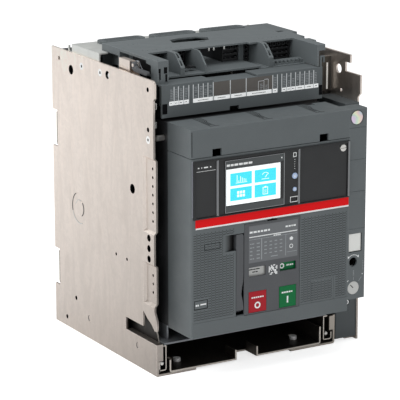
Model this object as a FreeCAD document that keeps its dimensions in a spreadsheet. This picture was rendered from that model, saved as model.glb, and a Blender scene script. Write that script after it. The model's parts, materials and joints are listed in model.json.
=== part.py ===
"""Withdrawable three-pole air circuit breaker in its cradle, resting in the disconnected position.

Millimetres. +X right, +Y to the rear, +Z up. The origin is the bottom centre of the whole object.
Y values below are taken from the front edge of the cradle's side plates, and the helpers add
`plate_front`, which puts that edge in the row frame.
"""
import FreeCAD, Part
import Sketcher
import os

DIMENSIONS = {
    # cradle sheet metal
    "cradle_width": 278, "plate_height": 345, "plate_depth": 254.5, "plate_sheet": 2.5,
    "plate_front": -117, "notch_front": 242, "tray_sheet": 2, "tray_left": -122.3, "tray_right": 85.3,
    "joggle_depth": 3, "joggle_width": 27.5, "joggle_draft": 3, "edge_setback": 5.5,
    # poles and terminals
    "breaker_centre": -17, "pole_pitch": 70, "upper_row": 245.5, "lower_row": 71,
    "blade_width": 40, "blade_thick": 10, "blade_tip": 201, "terminal_end": 286,
    "terminal_hole": 5.5, "terminal_hole_pitch": 25,
    "latch_y": 62, "latch_z": 353, "latch_pin_radius": 2,
    # rear wall, shutters and racking
    "wall_front": 216, "wall_rear": 232, "shutter_front": 198, "shutter_sheet": 1.5,
    "rod_radius": 2, "racking_travel": 34, "screw_x": 96.2, "screw_z": 115, "screw_radius": 5,
    # guide rails
    "rail_sheet": 1.5, "rail_bottom": 6, "rail_top": 36.5, "rail_length": 190,
    # covers of the moving part
    "cover_left": -122.5, "cover_right": 88.5, "cover_front": -50, "cover_rear": 2,
    "cover_bottom": 57, "hood_bottom": 264.5, "cover_top": 297.5, "cover_wall": 3,
    "band_bottom": 184.5, "band_top": 195, "column_right": 113.5, "column_bottom": 70,
    "column_rear": -28, "centre_left": -53, "centre_right": 21.6, "centre_bottom": 73.5,
    "centre_top": 181.4, "seam": 0.4, "trim_proud": 2,
    # moving part behind the cover
    "case_left": -121, "case_right": 87, "case_front": 6, "case_rear": 160, "case_top": 296, "case_wall": 4,
    "jaw_reach": 180, "arm_axis_y": 100, "arm_axis_z": 130, "pole_shaft_radius": 8,
    "lever_axis_y": -41, "lever_axis_z": 84, "lever_pin_radius": 3,
    "charging_axis_y": -14, "charging_axis_z": 150, "charging_shaft_radius": 6,
    # terminal box on top
    "box_front": 13, "box_rear": 153, "box_roof_front": 66, "box_floor": 338, "overall_top": 363,
    "box_left": -124, "box_right": 86.7, "box_low_floor": 335.5, "box_sill": 40, "box_step": 24,
    "post_front": 21.3, "post_width": 14.2,
    "frame_top": 354.5, "frame_sheet": 2, "running_gap": 0.05, "free_gap": 0.3,
}

doc = FreeCAD.newDocument("air_circuit_breaker")
sheet = doc.addObject("Spreadsheet::Sheet", "Sizes")
for row, (alias, value) in enumerate(DIMENSIONS.items(), start=1):
    sheet.set(f"A{row}", alias)
    sheet.set(f"B{row}", str(value))
    sheet.setAlias(f"B{row}", alias)
doc.recompute()


class Size:
    """A length together with the spreadsheet formula that it comes from."""

    def __init__(self, value, text):
        self.value = float(value)
        self.text = text

    def __float__(self):
        return self.value

    def __add__(self, other):
        return Size(self.value + float(other), f"({self.text} + {text_of(other)})")

    def __radd__(self, other):
        return Size(float(other) + self.value, f"({text_of(other)} + {self.text})")

    def __sub__(self, other):
        return Size(self.value - float(other), f"({self.text} - {text_of(other)})")

    def __rsub__(self, other):
        return Size(float(other) - self.value, f"({text_of(other)} - {self.text})")

    def __mul__(self, other):
        return Size(self.value * float(other), f"({self.text} * {text_of(other)})")

    __rmul__ = __mul__

    def __truediv__(self, other):
        return Size(self.value / float(other), f"({self.text} / {text_of(other)})")

    def __neg__(self):
        return Size(-self.value, f"(0 - {self.text})")


def text_of(value):
    """The formula of a Size, or the digits of a plain number."""
    if isinstance(value, Size):
        return value.text
    return f"({float(value)})" if float(value) < 0 else f"{float(value)}"


class Sizes:
    """Every cell of the sheet as a Size, read by its alias."""


for alias, value in DIMENSIONS.items():
    setattr(Sizes, alias, Size(value, f"Sizes.{alias}"))

HALF_WIDTH = Sizes.cradle_width / 2
INNER_LEFT = -HALF_WIDTH + Sizes.plate_sheet
INNER_RIGHT = HALF_WIDTH - Sizes.plate_sheet
POLES = [Sizes.breaker_centre + Sizes.pole_pitch * step for step in (-1, 0, 1)]
nodes = []


def bind(item, prop, value):
    """Set a property to a number, or tie it to the sheet's formula."""
    item.setExpression(prop, text_of(value)) if isinstance(value, Size) else setattr(item, prop, value)


def put(item, x, y, z, rotation=None):
    """Place an object; y counts from the side plates' front edge."""
    turn = rotation or FreeCAD.Rotation()
    item.Placement = FreeCAD.Placement(FreeCAD.Vector(float(x), float(y), float(z)), turn)
    item.setExpression("Placement.Base.x", text_of(x))
    item.setExpression("Placement.Base.y", text_of(Sizes.plate_front + y))
    item.setExpression("Placement.Base.z", text_of(z))


def box(name, x, y, z):
    """A block between two planes across each axis."""
    block = doc.addObject("Part::Box", name)
    bind(block, "Length", x[1] - x[0])
    bind(block, "Width", y[1] - y[0])
    bind(block, "Height", z[1] - z[0])
    put(block, x[0], y[0], z[0])
    return block


AXIS_TURNS = {
    "x": FreeCAD.Rotation(FreeCAD.Vector(0, 1, 0), 90),
    "y": FreeCAD.Rotation(FreeCAD.Vector(1, 0, 0), -90),
    "z": FreeCAD.Rotation(),
}


def rod(name, axis, start, radius, length):
    """A cylinder that runs from the point start along +axis."""
    solid = doc.addObject("Part::Cylinder", name)
    bind(solid, "Radius", radius)
    bind(solid, "Height", length)
    put(solid, *start, AXIS_TURNS[axis])
    return solid


def cone(name, axis, start, radius, end_radius, length):
    """A truncated cone that runs from the point start along +axis."""
    solid = doc.addObject("Part::Cone", name)
    bind(solid, "Radius1", radius)
    bind(solid, "Radius2", end_radius)
    bind(solid, "Height", length)
    put(solid, *start, AXIS_TURNS[axis])
    return solid


def ball(name, centre, radius):
    """A sphere about a point."""
    solid = doc.addObject("Part::Sphere", name)
    bind(solid, "Radius", radius)
    put(solid, *centre)
    return solid


def drafted_block(name, x, y, z, draft):
    """A block that shrinks by draft on all four sides from x[0] to x[1]."""
    wedge = doc.addObject("Part::Wedge", name)
    along = y[1] - y[0]
    height = z[1] - z[0]
    settings = {"Xmin": 0.0, "Xmax": along, "Ymin": 0.0, "Ymax": x[1] - x[0], "Zmin": 0.0, "Zmax": height,
                "X2min": draft, "X2max": along - draft, "Z2min": draft, "Z2max": height - draft}
    for prop, value in settings.items():
        bind(wedge, prop, value)
    put(wedge, x[0], y[1], z[0], FreeCAD.Rotation(FreeCAD.Vector(0, 0, 1), -90))
    return wedge


def cut(name, base, tools):
    """The base with every tool taken away."""
    result = doc.addObject("Part::Cut", name)
    result.Base = base
    result.Tool = tools[0] if len(tools) == 1 else join(name + "_tools", tools)
    return result


def join(name, pieces):
    """One solid from several that touch or overlap."""
    result = doc.addObject("Part::MultiFuse", name)
    result.Shapes = pieces
    result.Refine = True
    return result


def common(name, first, second):
    """What two solids share."""
    result = doc.addObject("Part::Common", name)
    result.Base = first
    result.Tool = second
    return result


def group(name, pieces):
    """Separate solids of one kind in one node."""
    result = doc.addObject("Part::Compound", name)
    result.Links = pieces
    return result


PLANES = {"x": "YZ_Plane", "y": "XZ_Plane", "z": "XY_Plane"}


def prism(name, axis, points, start, end, rounds=()):
    """A body: an outline drawn across an axis and padded along it from start to end.

    Outline points are (Y, Z) across X, (X, Z) across Y and (X, Y) across Z. Each entry of
    rounds is a list of point numbers with the radius of their corners.
    """
    body = doc.addObject("PartDesign::Body", name)
    sketch = body.newObject("Sketcher::SketchObject", name + "_outline")
    plane = next(item for item in body.Origin.OriginFeatures if item.Role == PLANES[axis])
    sketch.AttachmentSupport = [(plane, "")]
    sketch.MapMode = "FlatFace"
    corners = [FreeCAD.Vector(float(a), float(b), 0) for a, b in points]
    count = len(corners)
    for i in range(count):
        sketch.addGeometry(Part.LineSegment(corners[i], corners[(i + 1) % count]))
    for i in range(count):
        sketch.addConstraint(Sketcher.Constraint("Coincident", i, 2, (i + 1) % count, 1))
    for i, (a, b) in enumerate(points):
        for kind, value in (("DistanceX", a), ("DistanceY", b)):
            index = sketch.addConstraint(Sketcher.Constraint(kind, -1, 1, i, 1, float(value)))
            if isinstance(value, Size):
                sketch.setExpression(f"Constraints[{index}]", value.text)
    pad = body.newObject("PartDesign::Pad", name + "_pad")
    pad.Profile = sketch
    bind(pad, "Length", end - start)
    if axis == "x":
        put(body, start, 0, 0)
    elif axis == "y":
        put(body, 0, end, 0)
    else:
        put(body, 0, 0, start)
    for number, (corner_numbers, radius) in enumerate(rounds):
        doc.recompute()
        edges = corner_edges(body.Tip.Shape, axis, [corners[k] for k in corner_numbers])
        fillet = body.newObject("PartDesign::Fillet", f"{name}_round{number}")
        fillet.Base = (fillet_base(body, fillet), edges)
        fillet.Radius = float(radius)
        body.Tip = fillet
    return body


def fillet_base(body, fillet):
    """The last solid feature of a body before a new fillet."""
    solids = [item for item in body.Group if item.isDerivedFrom("PartDesign::Feature") and item != fillet]
    return solids[-1]


def corner_edges(shape, axis, corners):
    """Names of the edges that run along the axis through the given outline corners."""
    names = []
    for number, edge in enumerate(shape.Edges, start=1):
        ends = [across(vertex.Point, axis) for vertex in edge.Vertexes]
        if len(ends) == 2 and (ends[0] - ends[1]).Length < 1e-6:
            if any((ends[0] - corner).Length < 1e-4 for corner in corners):
                names.append(f"Edge{number}")
    return names


def across(point, axis):
    """A point's place in the outline's own plane."""
    if axis == "x":
        return FreeCAD.Vector(point.y, point.z, 0)
    if axis == "y":
        return FreeCAD.Vector(point.x, point.z, 0)
    return FreeCAD.Vector(point.x, point.y, 0)


def node(name, item):
    """Make an object a sub-part: its label is the node's and the file's name."""
    item.Label = name
    nodes.append(item)
    return item


# ---------------------------------------------------------------- cradle

def plate_outline_rear():
    """The two notches of a side plate's rear edge, from the bottom up."""
    deep, rear = Sizes.notch_front, Sizes.plate_depth
    return [(rear, 0), (rear, 48), (deep, 48), (deep, 94), (rear, 94),
            (rear, 223), (deep, 223), (deep, 268), (rear, 268)]


def joggle(name, low, high):
    """A stretch of the left plate's front edge that is pressed inwards, and its outer recess."""
    draft, depth = Sizes.joggle_draft, Sizes.joggle_depth
    skirt = Sizes.joggle_width + draft
    bump = drafted_block(name + "_bump", (INNER_LEFT, INNER_LEFT + depth), (-skirt, skirt),
                         (low - draft, high + draft), draft)
    trim = box(name + "_trim", (INNER_LEFT - 1, INNER_LEFT + depth + 1), (-skirt - 1, Sizes.edge_setback),
               (low - draft - 1, high + draft + 1))
    recess = drafted_block(name + "_recess", (-HALF_WIDTH, -HALF_WIDTH + depth), (-skirt, skirt),
                           (low - draft, high + draft), draft)
    return cut(name + "_inside", bump, [trim]), recess


def drill(name, places, radius):
    """Holes across the left plate at (Y, Z) places."""
    length = Sizes.plate_sheet + Sizes.joggle_depth + 2
    return [rod(f"{name}{number}", "x", (-HALF_WIDTH - 1, y, z), radius, length)
            for number, (y, z) in enumerate(places)]


SCREW_PLACES = [(176.9, 332.8), (130.7, 333.1), (17.4, 275.7)]


def left_side_plate():
    """Left side plate with its joggles, drillings, rear tabs and the floor flange of the left rail."""
    top = Sizes.plate_height
    edge = Sizes.edge_setback
    outline = [(0, 0)] + plate_outline_rear() + [
        (Sizes.plate_depth, top), (2.5, top), (2.5, 325), (edge, 322), (edge, 76), (0, 66), (0, 58),
        (1, 54), (5, 54), (12, 60), (22, 65), (30, 71), (32, 71), (32, 53), (73, 53), (73, 38), (0, 38)]
    plate = prism("left_plate_sheet", "x", outline, -HALF_WIDTH, INNER_LEFT, [([11], 6)])
    upper_inside, upper_recess = joggle("upper_joggle", 170, 252.6)
    lower_inside, lower_recess = joggle("lower_joggle", 84.7, 128.5)
    tabs = [box(f"left_rear_tab{number}", (INNER_LEFT - 0.5, INNER_LEFT + 8),
                (Sizes.notch_front - Sizes.plate_sheet, Sizes.notch_front), span)
            for number, span in enumerate([(50, 92), (225, 266)])]
    flanges = [
        box("left_floor_flange", (-HALF_WIDTH, -87), (0, Sizes.plate_depth - 10), (0, Sizes.plate_sheet)),
        box("left_front_flange", (-HALF_WIDTH, -131), (0, Sizes.plate_sheet), (18.5, 38)),
        box("left_top_flange", (-HALF_WIDTH, -131), (0, 73), (36, 38)),
    ]
    sheet_metal = join("left_plate_bent", [plate, upper_inside, lower_inside] + tabs + flanges)
    holes = drill("left_hole_large", [(204, 324), (54.7, 211)], 5.75)
    holes += drill("left_hole_pin", [(112.6, 333.6)], 4.75)
    holes += drill("left_hole_mid", [(17.4, 333.2), (17.2, 287.4), (199.4, 42.4), (224.3, 12)], 2.75)
    holes += drill("left_hole_small", [(95.8, 123.5), (69.5, 123.5)], 2)
    holes += drill("left_hole_rack", [(12.5, 243 - 10.2 * step) for step in range(7)], 1.75)
    holes += drill("left_hole_row", [(17, 161.4 - 12.3 * step) for step in range(3)], 4.1)
    holes += drill("left_hole_low", [(13, 117.9 - 10.1 * step) for step in range(3)], 1.75)
    holes.append(box("left_hole_square", (-HALF_WIDTH - 1, INNER_LEFT + 1), (232.6, 237.2), (330.8, 335.4)))
    holes += [cone(f"left_countersink{number}", "x", (-HALF_WIDTH - 0.01, y, z), 4.6, 2.1,
                   Sizes.plate_sheet + 0.02)
              for number, (y, z) in enumerate(SCREW_PLACES)]
    holes += base_hole_tools("left_base_hole", BASE_HOLE_X[:1])
    ring = cut("left_emboss_ring", rod("left_emboss_outer", "x", (-HALF_WIDTH - 1, 187, 158), 19.5, 1.4),
               [rod("left_emboss_inner", "x", (-HALF_WIDTH - 2, 187, 158), 9.5, 4)])
    dimples = [rod(f"left_dimple{number}", "x", (-HALF_WIDTH - 1, y, 25.6), 4, 1.4)
               for number, y in enumerate((165, 45))]
    tools = holes + dimples + [upper_recess, lower_recess, ring]
    node("left_side_plate", cut("left_plate", sheet_metal, tools))


BASE_HOLE_X = [-100, 70]
BASE_HOLE_Y = [40, 215]


def base_hole_tools(name, columns):
    """Fixing holes through the cradle's floor."""
    return [rod(f"{name}_{abs(x)}_{y}", "z", (x, y, -1), 4.5, 8) for x in columns for y in BASE_HOLE_Y]


def right_side_plate():
    """Right side plate, stepped at its top front corner, with rear tabs."""
    top = Sizes.plate_height
    outline = [(0, 0)] + plate_outline_rear() + [
        (Sizes.plate_depth, top), (21.7, top), (21.7, 335), (31.5, 335), (31.5, 324), (0, 324),
        (0, 302), (5, 297), (5, 66), (0, 62)]
    plate = prism("right_plate_sheet", "x", outline, INNER_RIGHT, HALF_WIDTH)
    tabs = [box(f"right_rear_tab{number}", (INNER_RIGHT - 8, INNER_RIGHT + 0.5),
                (Sizes.notch_front - Sizes.plate_sheet, Sizes.notch_front), span)
            for number, span in enumerate([(50, 92), (225, 266)])]
    foot = box("right_foot_flange", (125, HALF_WIDTH), (8, Sizes.plate_depth - 10),
               (0, Sizes.plate_sheet))
    bent = join("right_plate_bent", [plate, foot] + tabs)
    start = INNER_RIGHT - 1
    holes = [rod("right_hole_large", "x", (start, 45.5, 324.7), 5.5, 5),
             rod("right_hole_small", "x", (start, 40, 299.7), 2, 5),
             rod("right_hole_low", "x", (start, 199.4, 42.4), 2.75, 5)]
    holes += [cone(f"right_countersink{number}", "x", (INNER_RIGHT - 0.01, y, z), 2.1, 4.6,
                   Sizes.plate_sheet + 0.02) for number, (y, z) in enumerate(SCREW_PLACES)]
    node("right_side_plate", cut("right_plate", bent, holes))


def base_tray():
    """Floor tray between the rails: lips along both sides and around the front cut-out."""
    low = Sizes.plate_sheet
    floor = low + Sizes.tray_sheet
    left, right = Sizes.tray_left, Sizes.tray_right
    outline = [(left, low), (right, low), (right, 24), (right - 2, 24), (right - 2, floor),
               (left + 2, floor), (left + 2, 18), (left, 18)]
    tray = prism("tray_section", "y", outline, 0, 196, [([0, 1], 3), ([4, 5], 1)])
    rear = box("tray_rear", (left, right), (190, 240), (low, floor))
    cutout = box("tray_cutout", (-32.1, -4.9), (-1, 24), (low - 1, floor + 1))
    lips = [box("tray_lip_left", (-34.1, -32.1), (0, 24), (floor - 0.5, 15)),
            box("tray_lip_right", (-4.9, -2.9), (0, 24), (floor - 0.5, 14.5))]
    open_tray = cut("tray_open", join("tray_whole", [tray, rear]), [cutout])
    holes = base_hole_tools("tray_base_hole", BASE_HOLE_X)
    node("base_tray", cut("tray", join("tray_lipped", [open_tray] + lips), holes))


def right_guide_channel():
    """Fixed channel that carries the right guide rail; its floor strip runs under the tray."""
    sheet_t = Sizes.plate_sheet
    outline = [(43, 0), (105.2, 0), (105.2, 36), (102.7, 36), (102.7, sheet_t), (43, sheet_t)]
    channel = prism("channel_section", "y", outline, 0, 214, [([1], 3), ([4], 1)])
    strip = box("channel_strip", (43, 102), (210, Sizes.plate_depth - 10), (0, sheet_t))
    flange = box("channel_flange", (97.5, 105.2), (0, 2), (17.5, 35))
    holes = base_hole_tools("channel_base_hole", BASE_HOLE_X[1:])
    node("right_guide_channel", cut("channel", join("channel_bent", [channel, strip, flange]), holes))


def racking_housing():
    """Moulded housing between the right guide channel and the right plate."""
    outline = [(107, 4), (INNER_RIGHT, 4), (INNER_RIGHT, 292), (116, 292), (116, 68), (107, 68)]
    shell = prism("housing_outline", "y", outline, 1, 60, [([4], 2)])
    hollow_low = box("housing_hollow_low", (110, 133.5), (4, 61), (7, 65))
    hollow_high = box("housing_hollow_high", (119, 133.5), (4, 61), (64, 289))
    nut_slot = box("housing_nut_slot", (115, 137), (13.7, 34.3), (104.7, 125.3))
    node("racking_housing", cut("housing", shell, [hollow_low, hollow_high, nut_slot]))


def racking_nut():
    """Threaded block on the right plate that the racking screw draws itself into."""
    block = box("nut_block", (Sizes.cover_right + 0.7, INNER_RIGHT), (14, 34), (105, 125))
    bore = rod("nut_bore", "y", (Sizes.screw_x, 13, Sizes.screw_z), Sizes.screw_radius + Sizes.free_gap, 22)
    node("racking_nut", cut("nut", block, [bore]))


def rear_insulating_wall():
    """Moulded rear wall with a slot for each fixed contact blade, and the roof under the top frame."""
    wall = box("wall_sheet", (INNER_LEFT, INNER_RIGHT), (Sizes.wall_front, Sizes.wall_rear), (5, 345))
    inset = Sizes.frame_sheet + Sizes.free_gap
    roof = box("wall_roof", (INNER_LEFT + inset, INNER_RIGHT - inset), (156, Sizes.wall_front + 1),
               (331, 345))
    body = join("wall_and_roof", [wall, roof])
    slots = [blade_box(f"wall_slot{number}", x, z, (Sizes.wall_front - 1, Sizes.wall_rear + 1))
             for number, (x, z) in enumerate(blade_places())]
    relief = box("wall_relief", (INNER_LEFT + 12, INNER_RIGHT - 12),
                 (Sizes.wall_rear - 8, Sizes.wall_rear + 1), (110, 206))
    node("rear_insulating_wall", cut("rear_wall", body, slots + [relief]))


def blade_places():
    """Centre of every isolating contact, as (X, Z)."""
    return [(x, z) for z in (Sizes.upper_row, Sizes.lower_row) for x in POLES]


def blade_box(name, x, z, y):
    """A block with a blade's width and thickness."""
    half_width, half_thick = Sizes.blade_width / 2, Sizes.blade_thick / 2
    return box(name, (x - half_width, x + half_width), y, (z - half_thick, z + half_thick))


def rear_terminals():
    """Six fixed contact blades that end as horizontal rear terminals with two bolt holes."""
    blades = []
    for number, (x, z) in enumerate(blade_places()):
        blade = blade_box(f"blade{number}", x, z, (Sizes.blade_tip, Sizes.terminal_end))
        last = Sizes.terminal_end - 11
        holes = [rod(f"blade{number}_hole{k}", "z", (x, last - Sizes.terminal_hole_pitch * k, z - 6),
                     Sizes.terminal_hole, 12) for k in (0, 1)]
        blades.append(cut(f"blade{number}_drilled", blade, holes))
    node("rear_terminals", group("terminals", blades))


def rear_top_frame():
    """Galvanised cross frame over the rear wall, folded down inside both side plates."""
    thick, top = Sizes.frame_sheet, Sizes.frame_top
    sheet_metal = [box("frame_sheet", (INNER_LEFT, INNER_RIGHT), (Sizes.box_rear + 0.5, 206),
                       (top - thick, top))]
    sides = [("left", (INNER_LEFT, INNER_LEFT + thick), (INNER_LEFT, Sizes.box_left - 0.5)),
             ("right", (INNER_RIGHT - thick, INNER_RIGHT), (-Sizes.box_left + 0.5, INNER_RIGHT))]
    for side, span, ear in sides:
        sheet_metal += [
            box(f"frame_{side}_ear", ear, (137, Sizes.box_rear + 1), (top - thick, top)),
            box(f"frame_{side}_flange", span, (137, 206), (336, top)),
            box(f"frame_{side}_foot", span, (205, 213), (336, 345)),
            box(f"frame_{side}_tab", span, (213, 215.5), (336, 352)),
        ]
    node("rear_top_frame", join("top_frame", sheet_metal))


def pole_vents():
    """Three flat vent covers with rounded ends on the rear top frame, one for each pole."""
    base, top = Sizes.frame_top, 358
    covers = []
    for number, pole in enumerate(POLES):
        low, high = pole - 21.5, pole + 39
        outline = [(low, 180.5), (high, 180.5), (high, 200), (low, 200)]
        cover = prism(f"vent{number}", "z", outline, base, top, [([0, 1, 2, 3], 8)])
        grooves = [box(f"vent{number}_groove{k}", (low + 7, high - 7), (184 + 4.5 * k, 186.2 + 4.5 * k),
                       (top - 1.2, top + 1)) for k in range(3)]
        covers.append(cut(f"vent{number}_cover", cover, grooves))
    node("pole_vents", group("vent_covers", covers))


DIVIDERS = [(-83, -77.6), (-51, -49.3), (35.2, 41.2)]
POST_SLOTS = [(-122, -119.6, 341, 354.3), (-114.8, -111.6, 348.5, 354.3), (-113.8, -111.6, 338.5, 347.5)]
ROOF_HOLES = [(-107 + 6.2 * step, 86) for step in (0, 1, 2, 3, 5, 6, 7, 8)]
ROOF_HOLES += [(47 + 6.2 * step, 82) for step in range(7)] + [(-103 + 6 * step, 127) for step in range(3)]
ROOF_RECESS = [(-53, 111), (-6, 107), (1, 122), (-8, 132), (-29, 134), (-47, 129)]


def box_walls():
    """Floors, walls, roof, side beam, post and right ledge of the terminal box."""
    front, rear, top, sill = Sizes.box_front, Sizes.box_rear, Sizes.overall_top, Sizes.box_sill
    floor, low_floor, step = Sizes.box_floor, Sizes.box_low_floor, Sizes.box_step
    post_front = Sizes.post_front
    left, right, inner = Sizes.box_left, Sizes.box_right, Sizes.box_left + Sizes.post_width
    return [
        box("box_floor", (inner - 2, step), (sill, rear), (floor, floor + 2)),
        box("box_riser", (step - 2, step), (sill, rear), (low_floor, floor + 1)),
        box("box_low_floor", (step - 2, right), (sill, rear), (low_floor, low_floor + 2)),
        box("box_comb", (step + 18, right - 1), (sill + 4, sill + 16), (low_floor + 1, 342)),
        box("box_roof", (left, right), (Sizes.box_roof_front + 5, rear), (top - 2, top)),
        box("box_roof_right", (step, right), (Sizes.box_roof_front, rear), (top - 2, top)),
        box("box_back", (left, right), (rear - 2, rear), (low_floor, top)),
        box("box_pillar", (20.5, 27), (84, rear), (low_floor + 1, top - 1)),
        box("box_beam_top", (left, inner), (post_front, rear), (top - 2, top)),
        box("box_post", (left, inner), (post_front, post_front + 15), (337.2, top)),
        box("box_strut", (left, inner), (110, 113.5), (floor, top - 1)),
        prism("box_right_wall", "x", [(front, floor + 0.2), (sill, floor + 0.2), (sill, low_floor),
                                      (rear, low_floor), (rear, top), (front, top)], right - 2.2, right),
        prism("box_ledge", "z", [(right - 1, front), (96, front), (96, 36), (94, 36), (94, 40), (101, 40),
                                 (101, 56), (96, 56), (96, 68), (103, 68), (103, 107), (90, 107), (90, 145),
                                 (right - 1, 145)], top - 7, top, [([1, 5, 6, 9, 10], 1.5)]),
        prism("box_side_beam", "x", [(post_front, 354.5), (47.4, 357), (47.4, 360), (113.5, 360),
                                     (113.5, 354.5), (rear, 354.5), (rear, top), (post_front, top)],
              left, left + 3),
        prism("box_cheek", "x", [(post_front, floor), (rear, floor), (rear, top), (post_front, top)],
              inner - 2, inner),
    ]


def box_dividers():
    """Dividers between the compartments: upright at the front, then sloping up to the roof."""
    rear, top, sill = Sizes.box_rear, Sizes.overall_top, Sizes.box_sill
    dividers = []
    for number, (low, high) in enumerate(DIVIDERS):
        foot = Sizes.box_low_floor if low > 24 else Sizes.box_floor
        outline = [(sill, foot), (sill, 348.5), (sill + 14, top), (rear, top), (rear, foot)]
        dividers.append(prism(f"box_divider{number}", "x", outline, low, high, [([2], 12)]))
    return dividers


def terminal_box():
    """Auxiliary terminal housing with its slots and holes."""
    top, post_front = Sizes.overall_top, Sizes.post_front
    slots = []
    for number, (low, high) in enumerate((DIVIDERS[0], DIVIDERS[2])):
        for k, (near, far) in enumerate(((41.8, 47), (49, 56))):
            slots.append(box(f"box_slot{number}_{k}", (low + 1.5, high - 1.5), (near, far), (343, 364)))
    for number, (low, high, bottom, roof) in enumerate(POST_SLOTS):
        slots.append(box(f"post_slot{number}", (low, high), (post_front - 1, post_front + 8), (bottom, roof)))
    slots.append(prism("roof_recess", "z", ROOF_RECESS, top - 3, top + 1, [([0, 2, 3, 4, 5], 2)]))
    slots.append(box("roof_slot", (-22, -13), (101, 105), (top - 1.4, top + 1)))
    slots.append(rod("beam_hole", "z", (-119, 29, top - 3), 1.3, 4))
    slots += [rod(f"roof_hole{k}", "z", (x, y, top - 3), 1.1, 4) for k, (x, y) in enumerate(ROOF_HOLES)]
    slots += [box(f"comb_notch{k}", (45.6 + 5.6 * k, 48.6 + 5.6 * k), (43, 48), (339, 343)) for k in range(7)]
    node("terminal_box", cut("box_housing", join("box_shell", box_walls() + box_dividers()), slots))


def sliding_contact_blocks():
    """Black plug blocks in the compartments of the terminal box."""
    roof = Sizes.overall_top - 2
    spans = [(-107, -85), (-76, -52.5), (-2, 20), (27.5, 34.5), (43, 83.5)]
    blocks = []
    for number, (low, high) in enumerate(spans):
        floor = (Sizes.box_low_floor if low > 24 else Sizes.box_floor) + 2
        face = 72 if low > 40 else 84
        block = box(f"plug{number}", (low, high), (face, Sizes.box_rear - 2), (floor, roof))
        rows = [box(f"plug{number}_row{k}", (low + 2, high - 2), (face - 1, face + 6),
                    (floor + 3 + 6 * k, floor + 6.5 + 6 * k)) for k in (0, 1, 2)]
        blocks.append(cut(f"plug{number}_block", block, rows))
    node("sliding_contact_blocks", group("plug_blocks", blocks))


def label_panel():
    """Panel under the terminal box that carries the wiring label."""
    left, front = Sizes.box_left, Sizes.box_front - 1
    pieces = [
        box("panel_face", (left, 91), (front, front + 3), (299.5, 337)),
        box("panel_shelf_left", (left, -57), (front, 38), (335, 337)),
        box("panel_shelf_middle", (-58, 2.5), (front, 38), (332.5, 334.5)),
        box("panel_shelf_right", (1.5, 91), (front, 38), (335, 337)),
        box("panel_end_left", (INNER_LEFT, left + 3), (20, 60), (312, 337)),
        box("panel_end_right", (88, INNER_RIGHT), (62, 68), (296, 337)),
        box("panel_bridge", (60, 91), (15, 68), (332, 335.2)),
        box("panel_hook_stem", (88, 90), (front, front + 2), (336, 350)),
        box("panel_hook_top", (88, 94), (front, front + 2), (348, 350)),
        box("panel_hook_end", (92.2, 94), (front, front + 2), (342, 350)),
    ]
    slots = [
        box("panel_notch", (-35, -22.5), (front - 1, front + 4), (299, 304)),
        box("panel_recess", (-57, 1.5), (front - 1, 39), (334.5, 338)),
        box("panel_slot_left", (-118.9, -116.7), (front - 1, front + 4), (304.3, 315.3)),
        box("panel_slot_right", (87.6, 90), (front - 1, front + 4), (303.5, 315)),
    ]
    node("label_panel", cut("panel", join("panel_bent", pieces), slots))


def latch():
    """Galvanised bracket with its riveted pin, and the spring-loaded lever that turns on it."""
    axis_y, axis_z, sheet_t, top = Sizes.latch_y, Sizes.latch_z, 1.5, 357
    outer, inner = -134, -127
    near, far = axis_y + 6, axis_y + 31
    bracket = join("latch_frame", [
        box("latch_upright", (inner - sheet_t, inner), (axis_y - 5, far), (338, top)),
        box("latch_lug", (INNER_LEFT, inner), (near, far), (338 - sheet_t, 338)),
        box("latch_hood", (outer, inner), (near, far), (top - sheet_t, top)),
        box("latch_side", (outer, outer + sheet_t), (near, far), (338, top)),
        rod("latch_pin", "x", (-133.5, axis_y, axis_z), Sizes.latch_pin_radius, 5.5),
    ])
    node("latch_bracket", bracket)
    hub = rod("latch_hub", "x", (-133, axis_y, axis_z), 4, 3.5)
    outline = [(axis_y - 3, axis_z + 1), (axis_y + 3.5, axis_z - 1), (axis_y + 2, 348), (axis_y - 3, 346),
               (31, 345.8), (29.5, 348), (30, 350.5), (axis_y - 8, 350.5), (axis_y - 5, 352)]
    arm = prism("latch_arm", "x", outline, -133, -129.5, [([2, 3, 5], 1.2)])
    bore = rod("latch_bore", "x", (-134, axis_y, axis_z), Sizes.latch_pin_radius + Sizes.running_gap, 7)
    node("latch_lever", cut("latch_turning", join("latch_solid", [hub, arm]), [bore]))


def cradle_screws():
    """Countersunk screws of both side plates, and the slotted screws of the floor tray."""
    screws = []
    for side, outer, inward in (("left", -HALF_WIDTH, 1), ("right", HALF_WIDTH, -1)):
        for number, (y, z) in enumerate(SCREW_PLACES):
            name = f"screw_{side}{number}"
            if inward > 0:
                head = cone(name + "_head", "x", (outer, y, z), 4.5, 2, Sizes.plate_sheet)
                shank = rod(name + "_shank", "x", (outer + 1, y, z), 2, 6)
                recess = (outer - 1, outer + 0.9)
            else:
                head = cone(name + "_head", "x", (INNER_RIGHT, y, z), 2, 4.5, Sizes.plate_sheet)
                shank = rod(name + "_shank", "x", (outer - 7, y, z), 2, 6)
                recess = (outer - 0.9, outer + 1)
            drive = box(name + "_drive", recess, (y - 1.6, y + 1.6), (z - 1.6, z + 1.6))
            screws.append(cut(name, join(name + "_solid", [head, shank]), [drive]))
    node("side_plate_screws", group("plate_screws", screws))
    floor = Sizes.plate_sheet + Sizes.tray_sheet
    slotted = []
    for number, x in enumerate((-97, 64)):
        head = rod(f"tray_screw{number}_head", "z", (x, 28, floor), 4.5, 4)
        slot = box(f"tray_screw{number}_slot", (x - 5, x + 5), (27.4, 28.6), (floor + 2.6, floor + 5))
        slotted.append(cut(f"tray_screw{number}", head, [slot]))
    node("tray_screws", group("floor_screws", slotted))


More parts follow.
